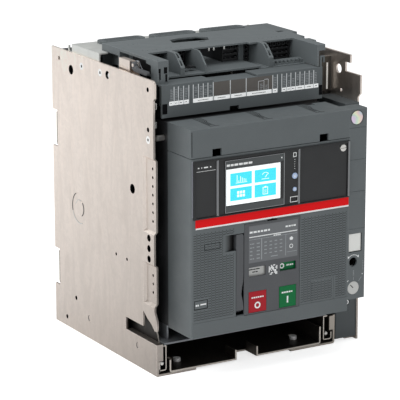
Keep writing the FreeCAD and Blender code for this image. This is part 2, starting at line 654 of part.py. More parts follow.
def shutters():
    """Guide rods and the two insulating shutters that cover the blades while disconnected."""
    rod_places = (-117, 83)
    depth = Sizes.shutter_front + 5.5
    floor = Sizes.plate_sheet + Sizes.tray_sheet
    rods = [rod(f"shutter_rod{number}", "z", (x, depth, floor), Sizes.rod_radius, 331 - floor)
            for number, x in enumerate(rod_places)]
    node("shutter_rods", group("rods", rods))
    for name, low, high in (("upper_shutter", 229, 262), ("lower_shutter", 60, 87.5)):
        front = Sizes.shutter_front
        plate = box(name + "_plate", (-117, 83), (front, front + Sizes.shutter_sheet),
                    (low, high))
        eyes = [rod(f"{name}_eye{number}", "z", (x, depth, low), 4.2, high - low)
                for number, x in enumerate(rod_places)]
        bores = [rod(f"{name}_bore{number}", "z", (x, depth, low - 1), Sizes.rod_radius + Sizes.running_gap,
                     high - low + 2) for number, x in enumerate(rod_places)]
        node(name, cut(name + "_sheet", join(name + "_solid", [plate] + eyes), bores))


# ---------------------------------------------------------------- guide rails

def guide_rails():
    """Left and right guide rails, bent sheet, with the domed stop pin at each front end."""
    low, high, sheet_t = Sizes.rail_bottom, Sizes.rail_top, Sizes.rail_sheet
    start = 0.5
    left = [(-136, low), (-126, low), (-126, high), (-130.5, high), (-130.5, high - sheet_t),
            (-127.5, high - sheet_t), (-127.5, low + sheet_t), (-134.5, low + sheet_t), (-134.5, 17.5),
            (-136, 17.5)]
    rail = prism("left_rail_section", "y", left, start, Sizes.rail_length, [([0, 1], 2.5), ([6, 7], 1)])
    web = prism("left_rail_web", "x", [(10, high - 1), (Sizes.rail_length, high - 1), (Sizes.rail_length, 62),
                                       (36, 62), (30, 76), (22, 76), (16, 50)],
                -130.5, -129)
    node("left_guide_rail", join("left_rail", [rail, web]))
    right = [(89, low), (101.2, low), (101.2, 15.3), (99.7, 15.3), (99.7, low + sheet_t),
             (90.5, low + sheet_t), (90.5, high - sheet_t), (95, high - sheet_t), (95, high), (89, high)]
    rail = prism("right_rail_section", "y", right, start, Sizes.rail_length, [([0, 1], 2.5), ([4, 5], 1)])
    web = box("right_rail_web", (93.5, 95), (20, Sizes.rail_length), (high - 1, 54))
    node("right_guide_rail", join("right_rail", [rail, web]))
    pins = []
    for number, (x, z) in enumerate(((-131.6, 15), (93.4, 14))):
        shank = rod(f"stop_pin{number}_shank", "y", (x, 2.5, z), 2.8, 16)
        dome = ball(f"stop_pin{number}_dome", (x, 2.5, z), 2.8)
        pins.append(join(f"stop_pin{number}", [shank, dome]))
    node("rail_stop_pins", group("stop_pins", pins))


# ---------------------------------------------------------------- covers of the moving part

def front_cover():
    """Lower front shield: an open-backed shell with windows for the trip unit and the controls."""
    wall, front, rear = Sizes.cover_wall, Sizes.cover_front, Sizes.cover_rear
    left, right, low, high = Sizes.cover_left, Sizes.cover_right, Sizes.cover_bottom, Sizes.hood_bottom
    outline = [(left, front), (right, front), (right, rear), (left, rear)]
    block = prism("cover_block", "z", outline, low, high, [([0], 2.5)])
    inside = box("cover_inside", (left + wall, right - wall), (front + wall, rear + 1),
                 (low + wall, high + 1))
    pocket = [(-80, front + 1), (-64.5, front + 1), (-64.5, front + 6.7), (-80, front + 3)]
    shell = join("cover_shell", [cut("cover_hollow", block, [inside]),
                                 prism("cover_pocket", "z", pocket, 150.5, 173)])
    ramp = [(-80, front - 1), (-64, front - 1), (-64, front + 5.2), (-80, front)]
    gap = Sizes.seam
    tools = [
        box("cover_trip_window", (left + 2.5, right - 0.5), (front - 1, front + wall + 1),
            (Sizes.band_top, high - 2.5)),
        box("cover_band_seat", (left + 5.5, right - 0.5), (front - 1, front + 1),
            (Sizes.band_bottom, Sizes.band_top)),
        box("cover_centre_window", (Sizes.centre_left - gap, Sizes.centre_right + gap),
            (front - 1, front + wall + 1), (Sizes.centre_bottom - gap, Sizes.centre_top + gap)),
        box("cover_lever_slot", (-64.2, Sizes.centre_left), (front - 1, front + wall + 1),
            (75, 171.5)),
        prism("cover_lever_recess", "z", ramp, 152, 171.5),
        box("cover_reset_window", (-118.4, -101.6), (front - 1, front + wall + 1),
            (90.6, 100.4)),
        box("cover_seam", (left - 1, right + 1), (front - 1, front + 0.6), (74.2, 74.8)),
        box("knockout_groove_top", (38.7, 69), (front - 1, front + 0.5), (101.4, 102)),
        box("knockout_groove_left", (38.7, 39.3), (front - 1, front + 0.5), (74.8, 102)),
        box("knockout_groove_right", (68.4, 69), (front - 1, front + 0.5), (74.8, 102)),
    ]
    node("front_cover", cut("cover", shell, tools))


def hood():
    """Upper shield above the trip unit, with two clip notches in its lower edge."""
    wall, front, rear = Sizes.cover_wall, Sizes.cover_front, Sizes.cover_rear
    left, right, low, high = Sizes.cover_left, Sizes.cover_right, Sizes.hood_bottom, Sizes.cover_top
    outline = [(left, front), (right, front), (right, rear), (left, rear)]
    block = prism("hood_block", "z", outline, low + 0.8, high, [([0], 2.5)])
    inside = box("hood_inside", (left + wall, right - wall), (front + wall, rear + 1), (low - 1, high - wall))
    tools = [inside]
    tools += [box(f"hood_notch{number}", (x, x + 12), (front - 1, front + 9), (low, 273.5))
              for number, x in enumerate((-95, 47.2))]
    tools.append(box("hood_step", (60, 70), (-8, 11), (high - 1.5, high + 1)))
    node("hood", cut("hood_shell", block, tools))


COLUMN_SEAMS = (275.5, 237.7, 199.7, 155)
DIAL_X = 97
DIAL_Z = 83.4


def side_column():
    """Racking column at the cover's right, with its crank opening, dial window and bearing boss."""
    wall, front, rear = Sizes.cover_wall, Sizes.cover_front, Sizes.column_rear
    left, right, low, high = Sizes.cover_right, Sizes.column_right, Sizes.column_bottom, Sizes.cover_top
    outline = [(left, front), (right, front), (right, rear), (left, rear)]
    block = prism("column_block", "z", outline, low, high, [([1], 2.5)])
    inside = box("column_inside", (left + 1, right - wall), (front + wall, rear + 1),
                 (low + wall, high - wall))
    boss = cut("bearing_boss", box("bearing_block", (left + 0.5, right - wall + 0.5), (-37, rear),
                                   (107, 123)),
               [rod("bearing_bore", "y", (Sizes.screw_x, -38, Sizes.screw_z),
                    Sizes.screw_radius + Sizes.running_gap, 12)])
    tools = [
        rod("column_crank_hole", "y", (Sizes.screw_x, front - 1, Sizes.screw_z), 5.7, wall + 2),
        rod("column_dial_hole", "y", (DIAL_X, front - 1, DIAL_Z), 8.1, wall + 2),
        box("column_button_window", (89.5, 106.8), (front - 1, front + wall + 1), (127.6, 149.4)),
    ]
    tools += [box(f"column_seam{number}", (left - 1, right + 1), (front - 1, front + 0.6), (z - 0.3, z + 0.3))
              for number, z in enumerate(COLUMN_SEAMS)]
    shell = cut("column_shell", block, [inside])
    node("side_column", join("column", [cut("column_open", shell, tools), boss]))


def centre_plate():
    """Plate with the openings of the push buttons and the two state windows."""
    front = Sizes.cover_front
    plate = box("centre_sheet", (Sizes.centre_left, Sizes.centre_right), (front, front + 2.5),
                (Sizes.centre_bottom, Sizes.centre_top))
    openings = {"off": (-46.9, -22.9, 75.1, 100.4), "on": (-5.9, 17.4, 74.7, 100.8),
                "spring": (-46.6, -24, 118, 129), "contacts": (-5, 17, 119, 129)}
    tools = [box(f"centre_{name}_window", (x0, x1), (front - 1, front + 4), (z0, z1))
             for name, (x0, x1, z0, z1) in openings.items()]
    node("centre_plate", cut("centre", plate, tools))


def controls():
    """Push buttons, charging lever, position dial and the flags behind the windows."""
    front = Sizes.cover_front
    buttons = {"off_button": (-46.5, -23.3, 75.5, 100), "on_button": (-5.5, 17, 75.1, 100.4),
               "trip_reset_button": (-118, -102, 91, 100), "position_release_button": (89.9, 106.4, 128, 149)}
    for name, (x0, x1, z0, z1) in buttons.items():
        cap = box(name + "_cap", (x0, x1), (front + 0.3, front + 8), (z0, z1))
        stem = rod(name + "_stem", "y", ((x0 + x1) / 2, front + 7, (z0 + z1) / 2), 2.5, 6)
        node(name, join(name + "_solid", [cap, stem]))
    for name, x in (("contact_flag", -7), ("spring_flag", -48)):
        plate = box(name + "_plate", (x, x + 26), (front + 3.5, front + 4.5), (116.5, 142.5))
        tail = box(name + "_tail", (x + 10, x + 16), (front + 3.5, front + 10), (140, 142.5))
        node(name, join(name + "_solid", [plate, tail]))
    dial = rod("dial_disc", "y", (DIAL_X, front + 0.3, DIAL_Z), 7.8, 2.5)
    spindle = rod("dial_spindle", "y", (DIAL_X, front + 2.5, DIAL_Z), 2.5, 12)
    pointer = box("dial_pointer", (-0.5, 0.5), (0, 1), (1, 6.5))
    put(pointer, DIAL_X - 0.354, front - 0.2, DIAL_Z - 0.354, FreeCAD.Rotation(FreeCAD.Vector(0, 1, 0), -45))
    node("position_dial", cut("dial", join("dial_solid", [dial, spindle]), [pointer]))
    charging_lever()
    shank = rod("racking_shank", "y", (Sizes.screw_x, -42, Sizes.screw_z), Sizes.screw_radius, 54)
    collar = rod("racking_collar", "y", (Sizes.screw_x, -42, Sizes.screw_z), 6.4, 4.5)
    square = box("racking_square", (Sizes.screw_x - 3.5, Sizes.screw_x + 3.5), (-43, -34),
                 (Sizes.screw_z - 3.5, Sizes.screw_z + 3.5))
    node("racking_screw", cut("racking", join("racking_solid", [shank, collar]), [square]))


def charging_lever():
    """Spring charging lever: a curved handle that pivots forwards about its lower end."""
    front, pivot_y, pivot_z = Sizes.cover_front, Sizes.lever_axis_y, Sizes.lever_axis_z
    face = [(-63.5, 76), (-55, 76), (-54, 84), (-54.8, 91), (-56.8, 99), (-56.2, 106), (-54.6, 114),
            (-54, 122), (-54, 168), (-55.5, 170.5), (-63.5, 170.5)]
    handle = prism("lever_face", "y", face, front - 1, front + 20, [([2, 3, 4, 5, 6, 7], 6)])
    outline = [(pivot_y, pivot_z - 7.6), (front, pivot_z - 3), (front, 170.5), (front + 8, 170.5),
               (front + 9, 140), (front + 9, 100), (pivot_y + 7.6, pivot_z)]
    side = prism("lever_side", "x", outline, -64, -53, [([0, 6], 5)])
    arm = common("lever_arm", handle, side)
    hub = rod("lever_hub", "x", (-63.5, pivot_y, pivot_z), 7.6, 8.5)
    bore = rod("lever_bore", "x", (-65, pivot_y, pivot_z), Sizes.lever_pin_radius + Sizes.running_gap, 13)
    node("charging_lever", cut("lever", join("lever_solid", [arm, hub]), [bore]))


# ---------------------------------------------------------------- trip unit

def trip_unit():
    """Protection trip unit: bezel, case, rating plug panel, display panel and touch screen."""
    front = Sizes.cover_front
    low, high = Sizes.band_top, Sizes.hood_bottom - 2.5
    left, right = Sizes.cover_left + 2.5, Sizes.cover_right - 0.5
    bezel = box("bezel_sheet", (left, right), (front - Sizes.trim_proud, front + 3), (low, high))
    panels = {"rating_plug_panel": (-117, -89), "display_panel": (-86, 20), "blank_module": (20.6, 85)}
    windows = [box(f"bezel_window_{name}", (x0, x1), (front - 4, front + 4), (196.4, 259.6))
               for name, (x0, x1) in panels.items()]
    node("trip_unit_bezel", cut("bezel", bezel, windows))
    node("trip_unit_case", box("trip_case", (-116, 84), (front + 6, 4), (199, 258)))
    plug = box("plug_panel", (-116.8, -89.2), (front - 0.5, front + 6), (196.6, 259.4))
    node("rating_plug_panel", plug)
    blank = box("blank_panel", (20.8, 84.8), (front - 0.5, front + 6), (196.6, 259.4))
    screw_seat = rod("blank_screw_seat", "y", (79.5, front - 1, 254), 4.3, 8)
    node("blank_module", cut("blank", blank, [screw_seat]))
    panel = box("display_sheet", (-85.8, 19.8), (front - 0.5, front + 6), (196.6, 259.4))
    surround = box("display_surround", (-79, -1), (front - 1.6, front), (198, 258))
    seat = box("screen_seat", (-78, -6), (front - 3, front + 1), (206, 248))
    port = box("port_socket", (9, 17), (front - 1, front + 4), (200.2, 204.3))
    holes = [rod(f"{name}_hole", "y", (13.5, front - 1, z), radius + Sizes.free_gap, 8)
             for name, z, radius in TRIP_BUTTONS]
    holes.append(rod("lamp_hole", "y", (13.2, front - 1, 254), 1.1, 3))
    node("display_panel", cut("display", join("display_solid", [panel, surround]), [seat, port] + holes))
    node("touch_screen", box("screen", (-77.8, -6.2), (front - 1.3, front + 1), (206.2, 247.8)))
    for name, z, radius in TRIP_BUTTONS:
        cap = rod(name + "_cap", "y", (13.5, front - 1.2, z), radius, 4)
        node(name, cap)
    head = rod("captive_head", "y", (79.5, front - 0.9, 254), 4, 5.9)
    slot = box("captive_slot", (75, 84), (front - 2, front + 0.3), (253.4, 254.6))
    node("captive_screw", cut("captive", head, [slot]))
    band = box("band", (Sizes.cover_left + 5.5, right), (front - 0.6, front + 1), (Sizes.band_bottom, low))
    node("accent_strip", band)


TRIP_BUTTONS = [("menu_button", 229.6, 3.5), ("test_button", 214, 2.5)]


# ---------------------------------------------------------------- moving part behind the cover

def carrier_plate():
    """Black steel plate under the moving part, which rests on the guide rails."""
    plate = box("carrier_sheet", (-128.7, 93.2), (0.5, Sizes.case_rear - 2),
                (Sizes.rail_top + Sizes.free_gap, 39))
    ribs = [box(f"carrier_rib{number}", (x, x + 2), (12, 158), (38.5, 57))
            for number, x in enumerate((-119, -53, 17, 83))]
    node("carrier_plate", join("carrier", [plate] + ribs))
    rollers = []
    for number, (x, length) in enumerate(((-130, 9), (87, 8))):
        rollers.append(rod(f"roller{number}", "x", (x, 14.5, 277), 3.5, length))
    node("guide_rollers", group("rollers", rollers))


def pole_case():
    """Moulded case of the three poles, with walls between the poles and openings over the arc chutes."""
    left, right, front, rear = Sizes.case_left, Sizes.case_right, Sizes.case_front, Sizes.case_rear
    low, high, wall, rim = Sizes.cover_bottom, Sizes.case_top, Sizes.case_wall, Sizes.cover_rear
    collar = cut("case_collar", box("collar_outer", (left, right), (rim, front + 0.5), (low, high)),
                 [box("collar_inner", (left + 2.5, right - 2.5), (rim - 1, front + 1),
                      (low + 2.5, high - 2.5))])
    block = join("case_solid", [box("case_block", (left, right), (front, rear), (low, high)), collar])
    tools = []
    for number, x in enumerate(POLES):
        half = Sizes.pole_pitch / 2 - wall / 2
        near = left + wall if number == 0 else x - half
        far = right - wall if number == 2 else x + half
        tools.append(box(f"chamber{number}", (near, far), (front + wall, rear - wall),
                         (low + wall, high - wall)))
        tools.append(box(f"chute_opening{number}", (x - 24, x + 24), (56, 144), (high - wall - 1, high + 1)))
        for row, z in (("upper", Sizes.upper_row), ("lower", Sizes.lower_row)):
            tools.append(blade_box(f"case_{row}_slot{number}", x, z, (rear - wall - 1, rear + 1)))
    shaft_hole = rod("case_shaft_hole", "x", (left - 1, Sizes.arm_axis_y, Sizes.arm_axis_z),
                     Sizes.pole_shaft_radius + Sizes.running_gap, right - left + 2)
    node("pole_case", cut("case", block, tools + [shaft_hole]))


def pole_internals():
    """Arc chutes, conductors, isolating jaws, current sensors, braids, contact arms and pole shaft."""
    kinds = {"arc_chutes": arc_chute, "upper_conductors": upper_bar, "lower_conductors": lower_bar,
             "current_sensors": current_sensor, "flexible_braids": braid, "contact_arms": contact_arm}
    for name, make in kinds.items():
        node(name, group(name + "_group", [make(number, x) for number, x in enumerate(POLES)]))
    fingers = [jaw_finger(f"{row}_finger{number}_{side + 1}", x, z, side)
               for number, x in enumerate(POLES)
               for row, z in (("upper", Sizes.upper_row), ("lower", Sizes.lower_row))
               for side in (-1, 1)]
    node("isolating_jaws", group("jaws", fingers))
    node("pole_shaft", rod("shaft", "x", (Sizes.case_left, Sizes.arm_axis_y, Sizes.arm_axis_z),
                           Sizes.pole_shaft_radius, Sizes.case_right - Sizes.case_left))


def arc_chute(number, x):
    """One pole's arc chute, with a gap between each pair of splitter plates."""
    block = box(f"chute{number}_block", (x - 23, x + 23), (58, 142), (256, 294))
    gaps = [box(f"chute{number}_gap{k}", (x - 20, x + 20), (64 + 9 * k, 69 + 9 * k), (255, 290))
            for k in range(8)]
    return cut(f"chute{number}", block, gaps)


def upper_bar(number, x):
    """Upper conductor with the fixed arcing contact at its front end."""
    axis_y, row = Sizes.arm_axis_y, Sizes.upper_row
    return join(f"upper_bar{number}", [
        blade_box(f"upper_bar{number}_run", x, row, (axis_y + 12, Sizes.case_rear + 6)),
        box(f"upper_bar{number}_contact", (x - 12, x + 12), (axis_y + 6.5, axis_y + 13),
            (row - 22, row + 5))])


def lower_bar(number, x):
    """Lower conductor with the riser that the braid is fixed to."""
    axis_y, row = Sizes.arm_axis_y, Sizes.lower_row
    return join(f"lower_bar{number}", [
        blade_box(f"lower_bar{number}_run", x, row, (axis_y + 12, Sizes.case_rear + 6)),
        box(f"lower_bar{number}_riser", (x - 12, x + 12), (axis_y + 12, axis_y + 18),
            (row, Sizes.arm_axis_z - 8))])


def jaw_finger(name, x, z, side):
    """One finger of an isolating jaw, above (side 1) or below (side -1) its blade."""
    rear, face = Sizes.case_rear, z + side * Sizes.blade_thick / 2
    near, far = face + side * Sizes.free_gap, z + side * 11
    grip = (near, far) if side > 0 else (far, near)
    root = (face, near + 0.5) if side > 0 else (near - 0.5, face)
    return join(name, [box(name + "_grip", (x - 19, x + 19), (rear + 1, Sizes.jaw_reach), grip),
                       box(name + "_root", (x - 19, x + 19), (rear + 1, rear + 10), root)])


def current_sensor(number, x):
    """Current sensor ring around a lower conductor."""
    near, row = Sizes.arm_axis_y + 26, Sizes.lower_row
    ring = box(f"sensor{number}_block", (x - 28, x + 28), (near, near + 22), (row - 9.5, row + 24))
    window = box(f"sensor{number}_window", (x - 20.5, x + 20.5), (near - 1, near + 23), (row - 5.5, row + 8))
    return cut(f"sensor{number}", ring, [window])


def braid(number, x):
    """Flexible connection from the lower conductor's riser up behind the arm's hub."""
    y0, z0 = Sizes.arm_axis_y, Sizes.arm_axis_z
    outline = [(y0 + 12, z0 - 8), (y0 + 18, z0 - 8), (y0 + 18, z0 + 2), (y0 + 16, z0 + 6),
               (y0 + 13.4, z0 + 6), (y0 + 13.4, z0 - 5), (y0 + 12, z0 - 5)]
    return prism(f"braid{number}", "x", outline, x - 9, x + 9)


def contact_arm(number, x):
    """Moving contact arm, keyed to the pole shaft."""
    y0, z0 = Sizes.arm_axis_y, Sizes.arm_axis_z
    outline = [(y0 - 9, z0), (y0 + 9, z0), (y0 - 28, 238), (y0 - 35, 238), (y0 - 40, 232)]
    bar = prism(f"arm{number}_bar", "x", outline, x - 10, x + 10)
    hub = rod(f"arm{number}_hub", "x", (x - 12, y0, z0), 13, 24)
    bore = rod(f"arm{number}_bore", "x", (x - 14, y0, z0), Sizes.pole_shaft_radius, 28)
    return cut(f"arm{number}", join(f"arm{number}_solid", [bar, hub]), [bore])


def mechanism():
    """Spring operating mechanism between the cover and the poles."""
    axis = (Sizes.charging_axis_y, Sizes.charging_axis_z)
    plates = [box(f"frame_plate{number}", (x, x + 2.5), (-43, 5.5), (78, 186))
              for number, x in enumerate((-68, 24))]
    ties = [rod(f"frame_tie{number}", "x", (-66, y, z), 3, 91)
            for number, (y, z) in enumerate(((-2, 88), (-2, 178), (-30, 178)))]
    lever_pin = rod("lever_pin", "x", (-66, Sizes.lever_axis_y, Sizes.lever_axis_z),
                    Sizes.lever_pin_radius, 11.5)
    bore = rod("frame_shaft_bore", "x", (-70, *axis), Sizes.charging_shaft_radius + Sizes.running_gap, 100)
    node("mechanism_frame", cut("frame_bored", join("frame_plates", plates + ties + [lever_pin]), [bore]))
    shaft = rod("charge_shaft", "x", (-70, *axis), Sizes.charging_shaft_radius, 98)
    wheel = rod("ratchet_disc", "x", (-50, *axis), 17, 5)
    teeth = []
    for number in range(12):
        turn = FreeCAD.Rotation(FreeCAD.Vector(1, 0, 0), 30 * number)
        offset = turn.multVec(FreeCAD.Vector(0, 15, -1.5))
        tooth = box(f"ratchet_gap{number}", (-51, -44), (15, 18), (-1.5, 1.5))
        put(tooth, -51, axis[0] + offset.y, axis[1] + offset.z, turn)
        teeth.append(tooth)
    cam = rod("cam_disc", "x", (-2, axis[0] + 5, axis[1]), 13, 8)
    node("charging_shaft", join("charging", [shaft, cut("ratchet", wheel, teeth), cam]))
    node("closing_spring", closing_spring())


SPRING_RADIUS = 10
SPRING_FOOT = (10, -18, 82)


def closing_spring():
    """Closing spring: a steel coil that stands behind the push buttons."""
    helix = doc.addObject("Part::Helix", "spring_path")
    helix.Pitch = 6.5
    helix.Height = 45.5
    helix.Radius = SPRING_RADIUS
    put(helix, *SPRING_FOOT)
    x, y, z = SPRING_FOOT
    start = FreeCAD.Vector(x + SPRING_RADIUS, float(Sizes.plate_front) + y, z)
    wire = doc.addObject("Part::Feature", "spring_wire_section")
    wire.Shape = Part.Wire([Part.makeCircle(1.5, start, FreeCAD.Vector(0, 1, 0))])
    coil = doc.addObject("Part::Sweep", "spring_coil")
    coil.Sections = [wire]
    coil.Spine = (helix, [])
    coil.Solid = True
    coil.Frenet = True
    return coil


left_side_plate()
right_side_plate()
base_tray()
right_guide_channel()
racking_housing()
racking_nut()
rear_insulating_wall()
rear_terminals()
rear_top_frame()
pole_vents()
terminal_box()
sliding_contact_blocks()
label_panel()
latch()
cradle_screws()
shutters()
guide_rails()
front_cover()
hood()
side_column()
centre_plate()
controls()
trip_unit()
carrier_plate()
pole_case()
pole_internals()
mechanism()

doc.recompute()
for item in doc.Objects:
    if "Invalid" in item.State or "Error" in item.State:
        raise RuntimeError(f"{item.Label} failed to compute: {item.State}")
for item in nodes:
    if item.Shape.isNull() or not item.Shape.isValid() or not item.Shape.Solids:
        raise RuntimeError(f"{item.Label} has no valid shape")
os.makedirs("parts", exist_ok=True)
whole = FreeCAD.BoundBox()
for item in nodes:
    item.Shape.exportStep(f"parts/{item.Label}.step")
    whole.add(item.Shape.BoundBox)
print(len(nodes), "nodes", whole)
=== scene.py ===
"""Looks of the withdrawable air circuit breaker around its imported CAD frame.

Metres in the row frame: +Z up, the front faces -Y, +X to the right. Lengths in the tables below
are millimetres; y counts from the front edge of the cradle's side plates, as in the CAD source.
"""
import json
import math
import random

import bpy
from mathutils import Matrix, Vector


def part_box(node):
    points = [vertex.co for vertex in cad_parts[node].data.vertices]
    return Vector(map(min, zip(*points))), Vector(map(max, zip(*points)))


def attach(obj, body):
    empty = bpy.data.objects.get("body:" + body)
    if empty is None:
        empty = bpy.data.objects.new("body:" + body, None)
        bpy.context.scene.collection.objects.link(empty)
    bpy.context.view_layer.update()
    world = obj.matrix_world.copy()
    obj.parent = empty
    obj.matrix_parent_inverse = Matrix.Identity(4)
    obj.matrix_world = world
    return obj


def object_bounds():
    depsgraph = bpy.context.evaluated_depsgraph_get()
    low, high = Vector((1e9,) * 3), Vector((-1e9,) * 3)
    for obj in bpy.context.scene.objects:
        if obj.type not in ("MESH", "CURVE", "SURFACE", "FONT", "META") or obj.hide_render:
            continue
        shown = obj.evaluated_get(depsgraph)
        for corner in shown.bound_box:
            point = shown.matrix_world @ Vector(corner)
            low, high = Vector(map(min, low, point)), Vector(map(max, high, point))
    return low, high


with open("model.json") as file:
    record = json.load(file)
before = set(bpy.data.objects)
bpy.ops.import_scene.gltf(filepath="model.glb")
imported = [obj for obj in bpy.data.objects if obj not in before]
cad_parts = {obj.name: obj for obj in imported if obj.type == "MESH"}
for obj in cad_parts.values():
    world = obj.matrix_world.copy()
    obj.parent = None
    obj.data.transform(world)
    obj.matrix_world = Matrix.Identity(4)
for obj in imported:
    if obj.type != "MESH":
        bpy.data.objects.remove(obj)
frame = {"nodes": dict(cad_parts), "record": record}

cad_low, cad_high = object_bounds()
MM = 0.001
PLATE_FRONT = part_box("left_side_plate")[0].y / MM


def front_of(node):
    """The y of a node's front face, in millimetres behind the side plates' front edge."""
    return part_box(node)[0].y / MM - PLATE_FRONT


def box_mm(node):
    """A node's low and high corners in the row frame, in millimetres."""
    return tuple(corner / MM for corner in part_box(node))


def proud(face, height=0.1):
    """The y range of a mark that stands proud of a front face and is rooted in it."""
    return (face - height, face + 0.02)


def point(x, y, z):
    """A place in the row frame from millimetres."""
    return Vector((x * MM, (y + PLATE_FRONT) * MM, z * MM))


# -------- materials

def linear(red, green, blue):
    """Linear colour of an 8-bit screen colour."""
    def channel(value):
        value /= 255
        return value / 12.92 if value <= 0.04045 else ((value + 0.055) / 1.055) ** 2.4
    return (channel(red), channel(green), channel(blue), 1.0)


def scaled(colour, factor):
    return tuple(min(1.0, c * factor) for c in colour[:3]) + (1.0,)


class Nodes:
    """Short calls for building a node tree."""

    def __init__(self, name):
        self.material = bpy.data.materials.new(name)
        self.material.use_nodes = True
        self.tree = self.material.node_tree
        self.shader = self.tree.nodes["Principled BSDF"]
        self.coords = self.add("ShaderNodeTexCoord").outputs["Object"]

    def add(self, kind, values=None, **settings):
        """A new node with its settings and, by socket, the values of its inputs."""
        node = self.tree.nodes.new(kind)
        for key, value in settings.items():
            setattr(node, key, value)
        for socket, value in (values or {}).items():
            node.inputs[socket].default_value = value
        return node

    def link(self, source, target):
        self.tree.links.new(source, target)

    def stretched(self, x, y, z):
        """Object coordinates with each axis scaled."""
        mapping = self.add("ShaderNodeMapping", {"Scale": (x, y, z)})
        self.link(self.coords, mapping.inputs["Vector"])
        return mapping.outputs["Vector"]

    def noise(self, vector, scale, detail=3.0, roughness=0.5, distortion=0.0):
        node = self.add("ShaderNodeTexNoise", {"Scale": scale, "Detail": detail, "Roughness": roughness,
                                               "Distortion": distortion})
        self.link(vector, node.inputs["Vector"])
        return node.outputs["Fac"]

    def remap(self, value, low, high, to_low, to_high):
        node = self.add("ShaderNodeMapRange", {"From Min": low, "From Max": high, "To Min": to_low,
                                               "To Max": to_high})
        self.link(value, node.inputs["Value"])
        return node.outputs["Result"]

    def mix(self, factor, first, second):
        """Colour mix; each colour is a socket or four numbers."""
        node = self.add("ShaderNodeMix", data_type="RGBA")
        self.link(factor, node.inputs[0])
        for socket, colour in ((node.inputs[6], first), (node.inputs[7], second)):
            if isinstance(colour, tuple):
                socket.default_value = colour
            else:
                self.link(colour, socket)
        return node.outputs[2]

    def varied(self, value, colour, low, high):
        """The colour between two strengths, along the middle of a noise value."""
        return self.mix(self.remap(value, 0.3, 0.7, 0.0, 1.0), scaled(colour, low), scaled(colour, high))

    def roughened(self, value, low, high):
        return self.remap(value, 0.3, 0.7, low, high)

    def surface(self, tone, roughness, relief):
        """Connect colour, roughness and relief, and hand back the finished material."""
        for socket, value in (("Base Color", tone), ("Roughness", roughness), ("Normal", relief)):
            self.link(value, self.shader.inputs[socket])
        return self.material

    def bump(self, height, strength, distance, below=None):
        node = self.add("ShaderNodeBump", {"Strength": strength, "Distance": distance})
        self.link(height, node.inputs["Height"])
        if below is not None:
            self.link(below, node.inputs["Normal"])
        return node.outputs["Normal"]

    def level(self, axis, low, high, to_low, to_high, kind="Object"):
        """A value that runs along one axis of the object's coordinates or, for kind Normal, its normals."""
        parts = self.add("ShaderNodeSeparateXYZ")
        self.link(self.add("ShaderNodeTexCoord").outputs[kind], parts.inputs[0])
        return self.remap(parts.outputs[axis], low, high, to_low, to_high)

    def combine(self, operation, first, second):
        """The sum or product of two values."""
        node = self.add("ShaderNodeMath", operation=operation)
        self.link(first, node.inputs[0])
        self.link(second, node.inputs[1])
        return node.outputs[0]

    def shade(self, tone, factor):
        """The colour times a value."""
        node = self.add("ShaderNodeVectorMath", operation="SCALE")
        self.link(tone, node.inputs[0])
        self.link(factor, node.inputs["Scale"])
        return node.outputs[0]

    def edges(self, radius, low, high):
        """1 along convex and concave edges, 0 on flat faces."""
        bevel = self.add("ShaderNodeBevel", {"Radius": radius}, samples=4)
        geometry = self.add("ShaderNodeNewGeometry")
        dot = self.add("ShaderNodeVectorMath", operation="DOT_PRODUCT")
        self.link(bevel.outputs["Normal"], dot.inputs[0])
        self.link(geometry.outputs["Normal"], dot.inputs[1])
        return self.remap(dot.outputs["Value"], low, high, 1.0, 0.0)


def plastic(name, colour, roughness=0.5, grain=1.0, mottle=0.05, coat=0.0, edge=0.0, specular=0.4,
            with_painted_shade=False):
    """Moulded plastic: fine spark-eroded grain, faint mottling and lighter worn edges.

    The last flag adds painted shade: its left side darkens towards the rear, where the side plate shades it,
    and the lever's finger recess goes near black.
    """
    n = Nodes(name)
    fine = n.noise(n.coords, 900.0, 2.0)
    tone = n.varied(n.noise(n.coords, 18.0, 4.0), colour, 1 - mottle, 1 + mottle)
    tone = n.mix(n.remap(fine, 0.35, 0.75, 0.0, 0.12), tone, scaled(colour, 1.5))
    if edge:
        tone = n.mix(n.edges(0.0006, 0.80, 0.99), tone, scaled(colour, 1 + edge))
    if with_painted_shade:
        # Painted shade: the left side darker towards the rear.
        side = n.level(0, -0.1222, -0.1214, 1.0, 0.0)
        tone = n.mix(side, tone, n.shade(tone, n.level(1, -0.165, -0.115, 1.0, 0.55)))
        # Painted shade: near black in the lever's finger recess.
        depth = n.level(1, -0.1665, -0.1635, 0.0, 1.0)
        across = n.combine("ADD", n.level(0, -0.0805, -0.080, 0.0, 1.0),
                           n.level(0, -0.064, -0.0635, 0.0, -1.0))
        below = n.level(2, 0.174, 0.1745, 1.0, 0.0)
        recess = n.combine("MULTIPLY", n.combine("MULTIPLY", depth, across), below)
        tone = n.mix(recess, tone, (0.002, 0.002, 0.002, 1))
    gloss = {"Specular IOR Level": specular, "Coat Weight": coat, "Coat Roughness": 0.2}
    for socket, value in gloss.items():
        n.shader.inputs[socket].default_value = value
    return n.surface(tone, n.roughened(n.noise(n.coords, 60.0, 3.0), roughness - 0.06, roughness + 0.06),
                     n.bump(fine, 0.25 * grain, 0.00008))


